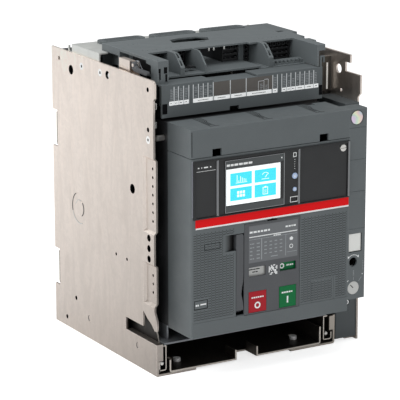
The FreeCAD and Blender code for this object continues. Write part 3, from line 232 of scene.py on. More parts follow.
def metal(name, colour, roughness=0.35, metallic=0.9, streak=(1.0, 1.0, 1.0), spangle=0.0, edge_wear_and_glint=0.25,
          spread=0.06, marbled_with_painted_shade=False, rub=0.0007, front_edge_highlight=None):
    """Bare or plated metal: rolling streaks, spangle, smudges and brighter edges, from rubbed wear and, on
    the dark sheets, painted highlight.

    Marbled sheet also darkens low down and towards the front as painted shade; with a cut-end colour, the
    faces that look to the front take it as a painted highlight.
    """
    n = Nodes(name)
    streaks = n.noise(n.stretched(*streak), 45.0, 5.0, 0.6, 0.4)
    smudge = n.noise(n.coords, 9.0, 4.0, 0.55, 0.8)
    scratches = n.noise(n.stretched(900.0, 14.0, 60.0), 1.0, 2.0)
    tone = n.varied(streaks, colour, 1 - spread, 1 + spread)
    tone = n.mix(n.remap(smudge, 0.45, 0.75, 0.0, 0.35), tone, scaled(colour, 1 - 2 * spread))
    if spangle:
        cells, grey = n.add("ShaderNodeTexVoronoi", {"Scale": 260.0}), n.add("ShaderNodeRGBToBW")
        n.link(n.coords, cells.inputs["Vector"])
        n.link(cells.outputs["Color"], grey.inputs["Color"])
        tone = n.mix(n.remap(grey.outputs["Val"], 0.2, 0.8, 0.0, spangle), tone, scaled(colour, 1.18))
    if marbled_with_painted_shade:
        marbling = n.noise(n.stretched(5.0, 5.0, 1.1), 9.0, 6.0, 0.62, 1.6)
        tone = n.mix(n.remap(marbling, 0.45, 0.62, 0.0, 0.5), tone, scaled(colour, 0.88))
        # Painted shade: darker low down and towards the front.
        painted_shade_level = n.combine("ADD", n.level(1, -0.117, 0.137, 0.46, 0.74), n.level(2, 0.02, 0.34, 0.0, 0.56))
        tone = n.shade(tone, painted_shade_level)
    # Painted highlight: faces that look to the front take the cut-end colour.
    if front_edge_highlight:
        tone = n.mix(n.level(1, -0.98, -0.6, 1.0, 0.0, "Normal"), tone, front_edge_highlight)
    # Brighter edges: rubbed wear, raised on the dark sheets into painted highlight.
    if edge_wear_and_glint:
        tone = n.mix(n.edges(rub, 0.75, 0.99), tone, scaled(colour, 1 + edge_wear_and_glint))
    n.shader.inputs["Metallic"].default_value = metallic
    relief = n.bump(streaks, 0.10, 0.0001, n.bump(scratches, 0.12, 0.00003))
    return n.surface(tone, n.roughened(streaks, roughness - 0.05, roughness + 0.08), relief)


def half_painted(name, colour, paint):
    """Plated sheet whose right half is painted."""
    n = Nodes(name)
    cloud = n.noise(n.stretched(1.6, 1.6, 0.35), 45.0, 4.0)
    right = n.level(0, 0.040, 0.0405, 0.0, 1.0)
    n.link(n.remap(right, 0.0, 1.0, 0.5, 0.0), n.shader.inputs["Metallic"])
    return n.surface(n.mix(right, n.varied(cloud, colour, 0.94, 1.04), paint),
                     n.roughened(cloud, 0.36, 0.46), n.bump(cloud, 0.1, 0.0001))


def ink(name, colour, roughness=0.45, glow=0.0, specular=0.5):
    """Printed or lit mark, a little uneven."""
    n = Nodes(name)
    speck = n.noise(n.coords, 1400.0, 2.0)
    tone = n.varied(speck, colour, 0.93, 1.04)
    n.shader.inputs["Specular IOR Level"].default_value = specular
    if glow:
        n.link(tone, n.shader.inputs["Emission Color"])
        n.shader.inputs["Emission Strength"].default_value = glow
    return n.surface(tone, n.roughened(speck, roughness - 0.05, roughness + 0.1),
                     n.bump(speck, 0.1, 0.00003))


def pearl(name):
    """Iridescent seal: soft bands of pink, green and yellow across the disc."""
    n = Nodes(name)
    ramp = n.add("ShaderNodeValToRGB")
    wave = n.noise(n.stretched(1.0, 1.0, 1.4), 60.0, 0.0, 0.5, 0.0)
    n.link(wave, ramp.inputs["Fac"])
    stops = [(0.30, linear(226, 208, 232)), (0.42, linear(210, 236, 216)), (0.52, linear(242, 240, 208)),
             (0.60, linear(246, 218, 218)), (0.72, linear(210, 230, 238))]
    for element, stop in zip(ramp.color_ramp.elements, (stops[0], stops[-1])):
        element.position, element.color = stop
    for position, colour in stops[1:-1]:
        ramp.color_ramp.elements.new(position).color = colour
    n.shader.inputs["Metallic"].default_value = 0.35
    return n.surface(ramp.outputs["Color"], n.roughened(wave, 0.22, 0.38),
                     n.bump(n.noise(n.coords, 700.0), 0.08, 0.00004))


ROLLED = (1.6, 1.6, 0.35)
# Pale colours painted on the sheets' front-facing edges as highlight.
BRIGHT_EDGE_HIGHLIGHT = linear(214, 207, 198)
DULL_EDGE_HIGHLIGHT = linear(176, 168, 158)
METALS = {
    # The side plates' zinc: marbled, with painted shade low down and towards the front.
    "zinc_sheet": (232, 221, 212, 0.36, 0.93, ROLLED, 0.3, 0.20, 0.05, True),
    "bright_steel": (216, 214, 210, 0.28, 0.95, (1.0, 3.0, 1.0), 0.0, 0.2),
    "black_steel": (124, 127, 131, 0.45, 0.5, (1.0, 0.3, 1.0), 0.0, 0.8),
    "copper": (214, 204, 196, 0.32, 0.95, (0.4, 3.0, 1.0), 0.0, 0.15, 0.07),
    # Zinc sheet darkened as painted shade.
    "zinc_inside": (96, 91, 84, 0.5, 0.6, ROLLED, 0.2, 0.35, 0.08),
    # Near-white screw finish, brightened as a painted highlight.
    "screw_zinc": (252, 252, 250, 0.5, 0.35, (1.0, 1.0, 1.0), 0.0, 0.0, 0.03),
    # Zinc sheet darkened as painted shade, its edges brightened as painted highlight.
    "dark_zinc": (74, 69, 64, 0.42, 0.8, ROLLED, 0.1, 2.5, 0.08, False, 0.0011, BRIGHT_EDGE_HIGHLIGHT),
    # Zinc sheet darkened further as painted shade, its edges brightened as painted highlight.
    "rail_zinc": (44, 42, 40, 0.45, 0.8, ROLLED, 0.1, 3.0, 0.08, False, 0.0011, BRIGHT_EDGE_HIGHLIGHT),
    # Zinc sheet darkened as painted shade, its front-facing edges in a painted highlight colour.
    "channel_zinc": (96, 91, 84, 0.5, 0.6, ROLLED, 0.2, 0.35, 0.08, False, 0.0007, DULL_EDGE_HIGHLIGHT),
}
PLASTICS = {
    "grey_plastic": (94, 100, 102, 0.5, 1.0, 0.05, 0.0, 0.6),
    "centre_grey_plastic": (80, 82, 85, 0.5, 0.8, 0.05, 0.0, 0.4),
    "black_thermoset": (34, 35, 37, 0.55, 1.4, 0.12, 0.0, 0.5),
    "shutter_plastic": (88, 88, 92, 0.6, 1.0, 0.06),
    "trip_unit_black": (47, 48, 49, 0.45, 0.7, 0.06, 0.0, 0.2, 0.3),
    "red_band": (226, 8, 16, 0.5, 0.4, 0.03, 0.0, 0.0, 0.15),
    "red_button": (166, 26, 38, 0.45, 0.6, 0.05, 0.0, 0.3, 0.2),
    "green_button": (2, 106, 56, 0.45, 0.6, 0.05, 0.0, 0.3, 0.2),
    "light_grey_plastic": (196, 197, 194, 0.45, 0.6, 0.04, 0.0, 0.1),
    "blue_white_plastic": (178, 198, 232, 0.28, 0.3, 0.08, 0.4),
    "flag_faces": (6, 96, 54, 0.45, 0.5, 0.05),
    "button_white": (224, 225, 221, 0.4, 0.5, 0.04),
    # Near-black finish for the racking screw, painted as the shade in its crank socket.
    "socket_black": (10, 10, 11, 0.7, 0.5, 0.05, 0.0, 0.0, 0.05),
    "bezel_dark": (38, 39, 40, 0.45, 0.5, 0.05, 0.0, 1.6, 0.3),
    "margin_grey": (72, 76, 77, 0.45, 0.5, 0.05),
    "bar_grey": (128, 130, 132, 0.4, 0.5, 0.04, 0.0, 0.3),
    "housing_grey": (74, 79, 81, 0.55, 1.0, 0.06, 0.0, 0.5),
    "roof_grey": (102, 108, 110, 0.5, 1.0, 0.05, 0.0, 0.9),
    "field_film": (96, 92, 88, 0.5, 0.3, 0.03, 0.1),
    "label_film": (104, 107, 110, 0.4, 0.3, 0.03, 0.2),
    # Light grey painted as the highlight on the cover's edge.
    "edge_grey": (136, 138, 146, 0.4, 0.5, 0.04),
    # The cover's and hood's grey, with painted shade on its left side and in the finger recess.
    "cover_grey": (93, 99, 101, 0.5, 1.0, 0.05, 0.0, 0.6, 0.4, True),
    "dash_shade": (50, 54, 56, 0.6, 0.5, 0.05),
}
# Columns: red, green, blue, roughness, glow, specular. The screen's glow is its own light; the glow of the
# label's strips and grid and of the bright tabs is painted light.
INKS = {
    "screen_face": (246, 252, 253, 0.2, 0.55),
    "white_ink": (238, 240, 240),
    # Label strips, glowing as painted light.
    "strip_ink": (246, 248, 248, 0.45, 0.3),
    "pale_ink": (150, 154, 157),
    # Label grid, glowing as painted light.
    "grid_ink": (214, 218, 220, 0.45, 0.08),
    # Near-white tabs and edge strip, glowing as painted light.
    "warm_tab": (250, 247, 240, 0.4, 0.25),
    # Black for print and joints, and for the patches and strips painted as shade and shadow in holes, gaps,
    # sockets and beside parts.
    "black_ink": (14, 15, 17, 0.5, 0.0, 0.06),
    "cyan_ink": (60, 222, 240, 0.25, 0.35),
    "icon_ink": (235, 252, 253, 0.25, 0.5),
    "yellow_ink": (236, 190, 40),
}
looks = {
    "frame_zinc": half_painted("frame_zinc", linear(222, 224, 220), linear(98, 104, 106)),
    "seal_pearl": pearl("seal_pearl"),
}
for make, table in ((metal, METALS), (plastic, PLASTICS), (ink, INKS)):
    for name, (red, green, blue, *finish) in table.items():
        looks[name] = make(name, linear(red, green, blue), *finish)

# CAD nodes whose finish differs from their slot's; the base tray, the rails and the right channel take zinc
# darkened as painted shade, the screws a painted glint and the racking screw a painted shade.
SPECIAL = {"trip_unit_bezel": "bezel_dark", "base_tray": "dark_zinc", "left_guide_rail": "rail_zinc",
           "right_guide_rail": "dark_zinc", "side_plate_screws": "screw_zinc",
           "racking_housing": "housing_grey", "terminal_box": "roof_grey", "rear_top_frame": "frame_zinc",
           "hood": "cover_grey", "front_cover": "cover_grey", "tray_screws": "screw_zinc",
           "racking_screw": "socket_black", "position_release_button": "button_white",
           "right_guide_channel": "channel_zinc"}


def dress_cad():
    """Give every CAD node its slot's material, with softened edges on the shapes that show."""
    slot_of = {part["node"]: part["material_slot"] for part in frame["record"]["subparts"]}
    widths = {"zinc_sheet": 0.35, "bright_steel": 0.2, "grey_plastic": 0.55, "centre_grey_plastic": 0.5,
              "trip_unit_black": 0.3, "red_button": 0.5, "green_button": 0.5, "light_grey_plastic": 0.5,
              "black_thermoset": 0.5, "copper": 0.5, "black_steel": 0.3}
    for name, item in frame["nodes"].items():
        item.data.materials.clear()
        item.data.materials.append(looks[SPECIAL.get(name, slot_of[name])])
        soften(item, widths.get(slot_of[name], 0.2) * MM)


def rounded(item, width):
    """Round the item's sharp edges."""
    bevel = item.modifiers.new("bevel", "BEVEL")
    bevel.width = width
    bevel.segments = 2
    bevel.limit_method = "ANGLE"
    bevel.angle_limit = math.radians(40)


def soften(item, width):
    """Weld the faces' shared edges, then round them a little."""
    item.modifiers.new("weld", "WELD").merge_threshold = 0.00001
    rounded(item, width)
    item.modifiers.new("normals", "WEIGHTED_NORMAL")


def show(name, data):
    """A new object in the scene."""
    item = bpy.data.objects.new(name, data)
    bpy.context.scene.collection.objects.link(item)
    return item


# -------- mesh pieces

class Shape:
    """Vertices and faces of one piece, gathered from simple closed parts.

    With across_x the two first axes change places: lengths along X are given as y and the other way round.
    """

    def __init__(self, across_x=False):
        self.verts = []
        self.faces = []
        self.across_x = across_x

    def add_faces(self, base, *faces):
        """Faces whose corners count from a base vertex."""
        self.faces += [tuple(base + k for k in face) for face in faces]

    def block(self, x, y, z, taper=0.0):
        """A block between two values on each axis; its front (-Y) face is smaller by taper all round."""
        base = len(self.verts)
        for depth, inset in ((y[0], taper), (y[1], 0.0)):
            left, right, low, high = x[0] + inset, x[1] - inset, z[0] + inset, z[1] - inset
            self.verts += [point(left, depth, low), point(right, depth, low),
                           point(right, depth, high), point(left, depth, high)]
        self.add_faces(base, (0, 1, 2, 3), (7, 6, 5, 4), (0, 4, 5, 1), (1, 5, 6, 2), (2, 6, 7, 3),
                       (3, 7, 4, 0))

    def blocks(self, spans, y, taper=0.0):
        """A block for each pair of x and z ranges."""
        for x, z in spans:
            self.block(x, y, z, taper)

    def frame(self, x, z, y, width):
        """Four bars round the inside of a rectangle's outline."""
        inner = (z[0] + width, z[1] - width)
        self.blocks(((x, (z[1] - width, z[1])), (x, (z[0], z[0] + width)),
                     ((x[0], x[0] + width), inner), ((x[1] - width, x[1]), inner)), y)

    def outline(self, corners, y):
        """A flat plate across Y with the given (x, z) corners, counter-clockwise seen from the front."""
        base, count = len(self.verts), len(corners)
        for depth in y:
            self.verts += [point(x, depth, z) for x, z in corners]
        self.add_faces(base, range(count), range(2 * count - 1, count - 1, -1))
        for k in range(count):
            nxt = (k + 1) % count
            self.faces.append((base + nxt, base + k, base + count + k, base + count + nxt))

    def ring(self, x, z, y, outer, inner, start=0.0, end=360.0, steps=32):
        """A flat ring or arc across Y; angles run counter-clockwise from +X, seen from the front."""
        closed = end - start >= 360.0
        base, count = len(self.verts), steps if closed else steps + 1
        for k in range(count):
            angle = math.radians(start + (end - start) * k / steps)
            for radius in (outer, inner):
                across, up = radius * math.cos(angle), radius * math.sin(angle)
                self.verts += [point(x + across, depth, z + up) for depth in y]
        for k in range(steps):
            a, b = base + 4 * k, base + 4 * ((k + 1) % count)
            self.faces += [(a, b, b + 2, a + 2), (b + 1, a + 1, a + 3, b + 3),
                           (b, a, a + 1, b + 1), (a + 2, b + 2, b + 3, a + 3)]
        if not closed:
            last = base + 4 * (count - 1)
            self.faces += [(base, base + 2, base + 3, base + 1), (last + 2, last, last + 1, last + 3)]

    def disc(self, x, z, y, radius, dome=0.0, steps=40):
        """A round plate across Y whose front may be domed."""
        base = len(self.verts)
        rims = [(radius, y[1]), (radius, y[0] + dome)]
        rims += [(radius * math.cos(math.radians(a)), y[0] + dome * (1 - math.sin(math.radians(a))))
                 for a in (25, 50, 72)] if dome else []
        for rim, depth in rims:
            for k in range(steps):
                angle = 2 * math.pi * k / steps
                self.verts.append(point(x + rim * math.cos(angle), depth, z + rim * math.sin(angle)))
        for r in range(len(rims) - 1):
            for k in range(steps):
                nxt = (k + 1) % steps
                a, b = base + r * steps, base + (r + 1) * steps
                self.faces.append((a + nxt, a + k, b + k, b + nxt))
        self.add_faces(base + (len(rims) - 1) * steps, range(steps))
        self.add_faces(base, range(steps - 1, -1, -1))

    def strip(self, places, width, z, height):
        """A raised line on a level face through (x, y) places."""
        for start, end in zip(map(Vector, places), map(Vector, places[1:])):
            lap = (end - start).normalized() * width / 2
            side = Vector((-lap.y, lap.x))
            corners = (start - lap + side, start - lap - side, end + lap - side, end + lap + side)
            base = len(self.verts)
            for level in (z, z + height):
                self.verts += [point(corner.x, corner.y, level) for corner in corners]
            self.add_faces(base, (3, 2, 1, 0), (4, 5, 6, 7), (0, 1, 5, 4), (1, 2, 6, 5), (2, 3, 7, 6),
                           (3, 0, 4, 7))

    def piece(self, name, body, look, slot, bevel=0.0):
        """Make the finished object, riding on a CAD body."""
        mesh = bpy.data.meshes.new(name)
        verts, faces = self.verts, self.faces
        if self.across_x:
            shift = PLATE_FRONT * MM
            verts = [Vector((v.y - shift, v.x + shift, v.z)) for v in verts]
            faces = [tuple(reversed(face)) for face in faces]
        mesh.from_pydata(verts, [], faces)
        mesh.validate()
        mesh.materials.append(looks[look])
        item = show(name, mesh)
        if bevel:
            rounded(item, bevel * MM)
        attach(item, body)


def shapes(count):
    """A few empty shapes."""
    return [Shape() for _ in range(count)]


def dashes(shape, x, z, y, height, word=(1.2, 3.2), gap=0.7):
    """A row of small bars that stands for a line of print, without being lettering."""
    here = x[0]
    while here < x[1] - word[0]:
        width = min(dice.uniform(*word), x[1] - here)
        shape.block((here, here + width), y, (z, z + height))
        here += width + gap


dress_cad()
dice = random.Random(7)
COVER = front_of("front_cover")
PRINT = 0.08
POLE_PITCH = 70
PLATE_FACE = box_mm("left_side_plate")[0].x
# Material slots of pale and of dark prints and trims.
PALE, DARK = "light_grey_plastic", "trip_unit_black"
DASH_DEPTH = (COVER - 0.06, COVER + 0.05)


# -------- label under the terminal box

LABEL_STRIPS = [(-114.5, -108.6), (-107.9, -102.4), (-101.6, -96.3), (-95.1, -89.4), (-83.3, -57.8),
                (-55.8, -35.1), (-33.3, -13.8), (-12.2, 21.2), (23.0, 28.7), (35.2, 41.0), (42.0, 47.0),
                (48.0, 53.2), (54.2, 65.8), (67.0, 78.2), (79.2, 85.3)]
LABEL_COLUMNS = [(-114.5, -108.3, 333), (-107.9, -102.6, 333), (-101.9, -96.1, 333), (-95.3, -89.1, 333),
                 (-83.0, -76.5, 333.4), (-76.2, -70.2, 333.4), (-69.9, -64.2, 333.4), (-63.7, -57.2, 333.4),
                 (3.4, 10.3, 328.4), (11.7, 16.2, 329.8), (23.0, 28.8, 333), (35.4, 41.4, 333),
                 (42.0, 47.2, 333), (47.8, 53.5, 333), (54.1, 59.6, 333), (60.2, 66.1, 333),
                 (66.8, 72.3, 333), (73.0, 78.5, 333), (79.2, 84.6, 333)]
LABEL_LINES = [-108.1, -102.5, -95.8, -89.0, -83.2, -76.4, -70.1, -64.0, -57.0, -34.4, -13.2, 22.7, 29.0,
               35.0, 41.6, 47.4, 53.8, 59.9, 66.4, 72.6, 78.9]


def wiring_label():
    """White strips, grids of wiring marks and blank fields on the label panel; the strips and the grid glow
    a little as painted light.
    """
    face = front_of("label_panel")
    y = proud(face, PRINT)
    foot, strip_top, line_top, first_row, pitch = 313.2, 317.8, 334.2, 319.0, 1.9
    white, lines, rows, marks, blank = shapes(5)
    for low, high in LABEL_STRIPS:
        white.block((low, high), proud(face, 0.12), (foot, strip_top))
        inset = 0.22 * (high - low)
        dashes(marks, (low + inset, high - inset), 315.0, (face - 0.16, face - 0.1), 0.9, (0.7, 1.5), 0.5)
    for x in LABEL_LINES:
        lines.block((x - 0.5, x + 0.5), y, (foot, line_top))
    for low, high, top in LABEL_COLUMNS:
        width = high - low
        for row in range(int((top - first_row) / pitch)):
            z = first_row + pitch * row
            near = low + width * dice.uniform(0.2, 0.28)
            if dice.random() < 0.9:
                rows.block((near, near + width * dice.uniform(0.45, 0.6)), y, (z, z + 0.9))
    lines.blocks((((3.0, 3.5), (strip_top, 328.9)), ((10.5, 11.0), (strip_top, 329.4)),
                  ((3.0, 11.0), (328.6, 329.1)), ((16.3, 16.8), (strip_top, 330.4)),
                  ((11.0, 16.8), (330.0, 330.5))), y)
    for low, high in ((-56.2, -34.9), (-33.8, -13.7), (-12.6, 22.2)):
        blank.block((low, high), proud(face, 0.05), (318.2, 334.0))
    white.piece("wiring_label_strips", "cradle", "strip_ink", PALE)
    lines.piece("wiring_label_grid", "cradle", "grid_ink", PALE)
    rows.piece("wiring_label_rows", "cradle", "pale_ink", PALE)
    marks.piece("wiring_label_marks", "cradle", "black_ink", DARK)
    blank.piece("wiring_label_fields", "cradle", "field_film", PALE)


wiring_label()


# -------- hood and cover

def hood_marks():
    """Three sets of engraved guide lines on the hood's top."""
    sunk, height = box_mm("hood")[1].z - 0.02, 0.06
    long_end, short_end, spacing, narrowing = -41.5, -36, 2.8, 0.72
    shape = Shape()
    for pole in range(3):
        x = -90 + POLE_PITCH * pole
        for k in range(4):
            start, near = x + spacing * k, x + narrowing * spacing * k
            end = long_end if k in (0, 3) else short_end
            shape.strip([(start, 1.0), (start - 0.5, -14), (near - 1.5, -22), (near - 2.2, end)],
                        1.0, sunk, height)
        for foot in ((x - 2.2, x + 1.6), (x + 3.8, x + 8.2)):
            shape.strip([(foot[0], long_end), (foot[1], long_end)], 1.3, sunk, height)
    shape.piece("hood_guide_marks", "breaker", "black_ink", DARK)


def dash_texture():
    """Fine pattern of engraved dashes on both sides of the centre plate."""
    fields = {"left": ((-119.5, -66.0), (77.5, 180.0)), "right": ((23.4, 86.2), (77.0, 181.0))}
    gaps = [(-81.5, -60.0, 150.0, 173.0), (-119.4, -100.3, 88.6, 102.0), (37.7, 39.9, 70.0, 103.0),
            (67.8, 70.0, 70.0, 103.0), (38.0, 70.0, 100.6, 102.8)]
    step_x, step_z = 4.8, 2.9
    for side, ((left, right), (low, high)) in fields.items():
        shape = Shape()
        for column in range(int((right - left) / step_x)):
            for row in range(int((high - low) / step_z)):
                x, z = left + step_x * column, low + step_z * row
                if any(a < x + 2.4 < b and c < z + 0.7 < d for a, b, c, d in gaps):
                    continue
                shape.block((x, x + 3.7), DASH_DEPTH, (z, z + 0.85))
                shape.block((x + 4.0, x + 4.7), DASH_DEPTH, (z + 1.0, z + 2.6))
        shape.piece(f"dash_texture_{side}", "breaker", "dash_shade", "grey_plastic")
    rim = Shape()
    rim.frame((-105.3, -84.7), (157.8, 165.2), (COVER - 0.08, COVER + 0.05), 0.6)
    rim.piece("lock_knockout_rim", "breaker", "black_ink", "grey_plastic")


def band_and_clip():
    """White line under the coloured band, and the dark release clip below it."""
    face = front_of("accent_strip")
    low, high = box_mm("accent_strip")
    line = Shape()
    line.block((low.x, high.x), (face - 0.15, face + 0.1), (low.z - 1.0, low.z + 0.9), 0.1)
    line.piece("band_white_line", "breaker", "white_ink", PALE)
    clip = Shape()
    for x in ((-22.5, -16.6), (-15.6, -9.4)):
        clip.block(x, (COVER - 0.9, COVER + 0.05), (180.9, 182.6), 0.25)
    clip.block((-17.4, -14.8), (COVER - 1.4, COVER + 0.05), (181.2, 184.0), 0.3)
    clip.piece("band_release_clip", "breaker", "black_ink", DARK, 0.15)


def corner_lines():
    """Dark joint along the hood's left front edge, and a light strip painted as the highlight on the cover's
    moulded edge below it.
    """
    joint, edge = shapes(2)
    joint.block((-121.6, -120.9), (COVER - 0.05, COVER + 0.1), (267.0, 295.4))
    edge.block((-121.4, -119.4), (COVER - 0.08, COVER + 0.1), (198.0, 262.6), 0.05)
    joint.piece("hood_edge_joint", "breaker", "black_ink", DARK)
    edge.piece("cover_edge_painted_highlight", "breaker", "edge_grey", "grey_plastic")


hood_marks()
dash_texture()
band_and_clip()
corner_lines()


# -------- trip unit

def screen_picture():
    """Menu on the screen: four tiles with plain icons."""
    low, high = box_mm("touch_screen")
    face = front_of("touch_screen")
    width, height = high.x - low.x, high.z - low.z
    tiles, icons = shapes(2)
    centres = []
    for z0, z1 in ((0.53, 0.88), (0.115, 0.464)):
        for x0, x1 in ((0.072, 0.469), (0.52, 0.918)):
            x = (low.x + x0 * width, low.x + x1 * width)
            z = (low.z + z0 * height, low.z + z1 * height)
            tiles.block(x, (face - 0.06, face + 0.02), z)
            centres.append(((x[0] + x[1]) / 2, (z[0] + z[1]) / 2))
    y = (face - 0.12, face - 0.04)
    cx, cz = centres[0]
    for k, tall in enumerate((8.5, 2.0, 6.5, 4.8, 3.8, 3.0)):
        icons.block((cx - 5.6 + 2.3 * k, cx - 4.9 + 2.3 * k), y, (cz - 3.8, cz - 3.8 + tall))
    icons.block((cx - 7.0, cx + 8.0), y, (cz - 4.6, cz - 4.1))
    cx, cz = centres[1]
    icons.ring(cx, cz - 1.6, y, 5.2, 4.6, 30, 150, 14)
    icons.block((cx - 5.0, cx + 5.0), y, (cz - 4.4, cz - 3.8))
    needle = ((-0.6, -2.2), (0.2, -2.6), (3.0, 1.0), (2.4, 1.4))
    icons.outline([(cx + x, cz + z) for x, z in needle], y)
    cx, cz = centres[2]
    for column in range(3):
        for row in range(2):
            x, z = cx - 5.2 + 3.7 * column, cz - 3.6 + 3.9 * row
            icons.block((x, x + 2.8), y, (z, z + 3.0))
    cx, cz = centres[3]
    clipboard = (((-3.4, -2.7), (-4.2, 3.6)), ((2.7, 3.4), (-4.2, 3.6)), ((-3.4, 3.4), (-4.9, -4.2)),
                 ((-3.4, -1.4), (3.0, 3.6)), ((1.4, 3.4), (3.0, 3.6)), ((-1.2, 1.2), (2.6, 4.6)),
                 ((-1.4, 1.4), (-2.6, -2.0)), ((-1.4, 1.4), (-0.4, 0.2)))
    for (x0, x1), (z0, z1) in clipboard:
        icons.block((cx + x0, cx + x1), y, (cz + z0, cz + z1))
    tiles.piece("screen_tiles", "breaker", "cyan_ink", "screen_face")
    icons.piece("screen_icons", "breaker", "icon_ink", "screen_face")


def trip_unit_marks():
    """Rim of the display, port, lamp and small marks of the trip unit."""
    panel = front_of("rating_plug_panel")
    raised = front_of("display_panel")
    rim, marks, dark, strip = shapes(4)
    rim.blocks((((-79.4, -78.4), (198, 258)), ((-1.8, -0.8), (198, 258)), ((-79.4, -0.8), (257.4, 258.2)),
                ((-79.4, -0.8), (197.8, 198.7)), ((-78.2, -5.8), (248.2, 248.8))),
               (raised - 0.25, raised + 0.1), 0.12)
    for z in ((249.4, 257.2), (198.9, 205.4)):
        strip.block((-78.2, -2.0), (raised - 0.1, raised + 0.1), z, 0.05)
    dashes(marks, (-77.4, -44.0), 251.4, (raised - 0.2, raised), 2.4, (3.0, 6.5), 1.0)
    marks.block((-5.6, -4.2), (raised - 0.2, raised), (252.6, 254.0))
    y = proud(panel, PRINT)
    for x, width in ((-114, 1.8), (-109.6, 1.0), (-106.2, 5.2), (-98.4, 1.6)):
        marks.block((x, x + width), y, (253.2, 254.6))
    marks.block((-115.6, -91.0), y, (249.6, 250.0))
    marks.frame((11.2, 15.6), (251.6, 256.8), y, 0.8)
    for k in range(5):
        marks.block((13.0, 13.8), y, (237.6 + 2.7 * k, 238.3 + 2.7 * k))
    marks.frame((7.6, 18.4), (199.0, 205.5), proud(panel, 0.2), 0.7)
    dark.block((9.2, 16.8), (panel + 0.6, panel + 1.4), (200.4, 204.1))
    rim.piece("display_rim", "breaker", "bar_grey", DARK, 0.08)
    strip.piece("display_margins", "breaker", "margin_grey", DARK)
    bezel = front_of("trip_unit_bezel")
    low, high = box_mm("trip_unit_bezel")
    bars, inner = Shape(), (low.z + 1.5, high.z - 1.5)
    bars.blocks((((-90.1, -87.9), inner), ((17.9, 19.9), inner),
                 ((85.6, 88.1), (low.z + 1.0, high.z - 0.5))), (min(bezel, panel) - 0.2, panel + 0.1), 0.2)
    bars.piece("trip_unit_bars", "breaker", "bar_grey", DARK, 0.1)
    marks.piece("trip_unit_marks", "breaker", "white_ink", PALE)
    dark.piece("test_port_tongue", "breaker", "black_thermoset", DARK, 0.1)
    for name, z, radius in (("menu_button", 229.6, 3.5), ("test_button", 214.0, 2.5)):
        face = front_of(name)
        cap, sign = shapes(2)
        cap.disc(13.5, z, (face - 0.55, face + 0.1), radius * 0.96, 0.5)
        cap.piece(f"{name}_lens", name, "blue_white_plastic", "blue_white_plastic")
        sign.ring(13.5, z, (face - 0.66, face - 0.4), radius * 0.42, radius * 0.24, 20, 320, 16)
        sign.piece(f"{name}_sign", name, "white_ink", PALE)


screen_picture()
trip_unit_marks()


# -------- centre plate

def rating_label():
    """Printed film with a plain table, and a block of scattered squares."""
    face = front_of("centre_plate")
    film, marks, faint, squares = shapes(4)
    film.block((-47, 18.6), proud(face), (134.5, 178.0), 0.03)
    y = (face - 0.18, face - 0.06)
    dashes(marks, (-46, -19), 169.4, y, 2.2, (2.0, 4.6), 1.2)
    dashes(marks, (2, 17), 170.4, y, 1.8, (1.6, 3.6), 1.0)
    marks.block((-46.4, 18.0), y, (164.4, 165.4))
    faint.block((-46.4, 18.0), y, (161.6, 162.1))
    faint.block((-30.6, -29.4), y, (137.0, 161.6))
    faint.block((2.0, 2.7), y, (137.0, 161.6))
    dashes(marks, (-14, -4), 162.4, y, 1.3, (1.0, 2.2), 0.6)
    for row in range(5):
        z = 156.2 - 4.4 * row
        dashes(faint, (-45.6, -40.0), z, y, 1.2, (1.8, 3.6), 0.8)
        faint.block((-36.6, -32.4), y, (z, z + 1.2))
        if row < 4:
            for column in range(4):
                x = -26.4 + 6.9 * column
                faint.block((x, x + 3.4), y, (z, z + 1.1))
    faint.block((-17.6, -8.2), y, (138.4, 139.4))
    marks.outline([(8.2, 154.4), (11.6, 154.4), (12.4, 157.0), (10.0, 158.6), (7.6, 157.0)], y)
    marks.ring(9.9, 147.2, y, 2.5, 1.8, steps=20)
    faint.block((3.6, 17.6), y, (140.6, 141.1))
    for column in range(8):
        for row in range(8):
            if dice.random() < 0.56:
                x, z = -20.2 + 1.46 * column, 117.0 + 1.46 * row
                squares.block((x, x + 1.3), proud(face), (z, z + 1.3))
    film.piece("rating_label_film", "breaker", "label_film", "centre_grey_plastic")
    marks.piece("rating_label_marks", "breaker", "white_ink", PALE)
    faint.piece("rating_label_table", "breaker", "pale_ink", PALE)
    squares.piece("square_pattern_label", "breaker", "white_ink", PALE)


def button_signs():
    """O and I on the push buttons, with bars above them, and the reset tab's mark."""
    for name, x in (("off_button", -34.9), ("on_button", 5.75)):
        face = front_of(name)
        y = proud(face)
        sign = Shape()
        if name == "off_button":
            sign.ring(x, 83.4, y, 4.0, 2.3)
        else:
            sign.block((x - 1.0, x + 1.0), y, (80.0, 88.0))
        dashes(sign, (x - 8.0, x + 8.6), 92.0, y, 1.7, (1.6, 2.8), 0.7)
        sign.piece(f"{name}_sign", name, "white_ink", PALE)
    face = front_of("trip_reset_button")
    sign = Shape()
    dashes(sign, (-116.6, -111.4), 94.2, proud(face), 2.0, (1.2, 2.0), 0.5)
    sign.block((-110.4, -103.0), proud(face), (94.8, 96.4))
    sign.piece("trip_reset_sign", "trip_reset_button", "white_ink", PALE)


# Heights of a flag's face in its window and of the one that waits above it.
SHOWN, HIDDEN = (117.0, 129.6), (129.8, 142.3)


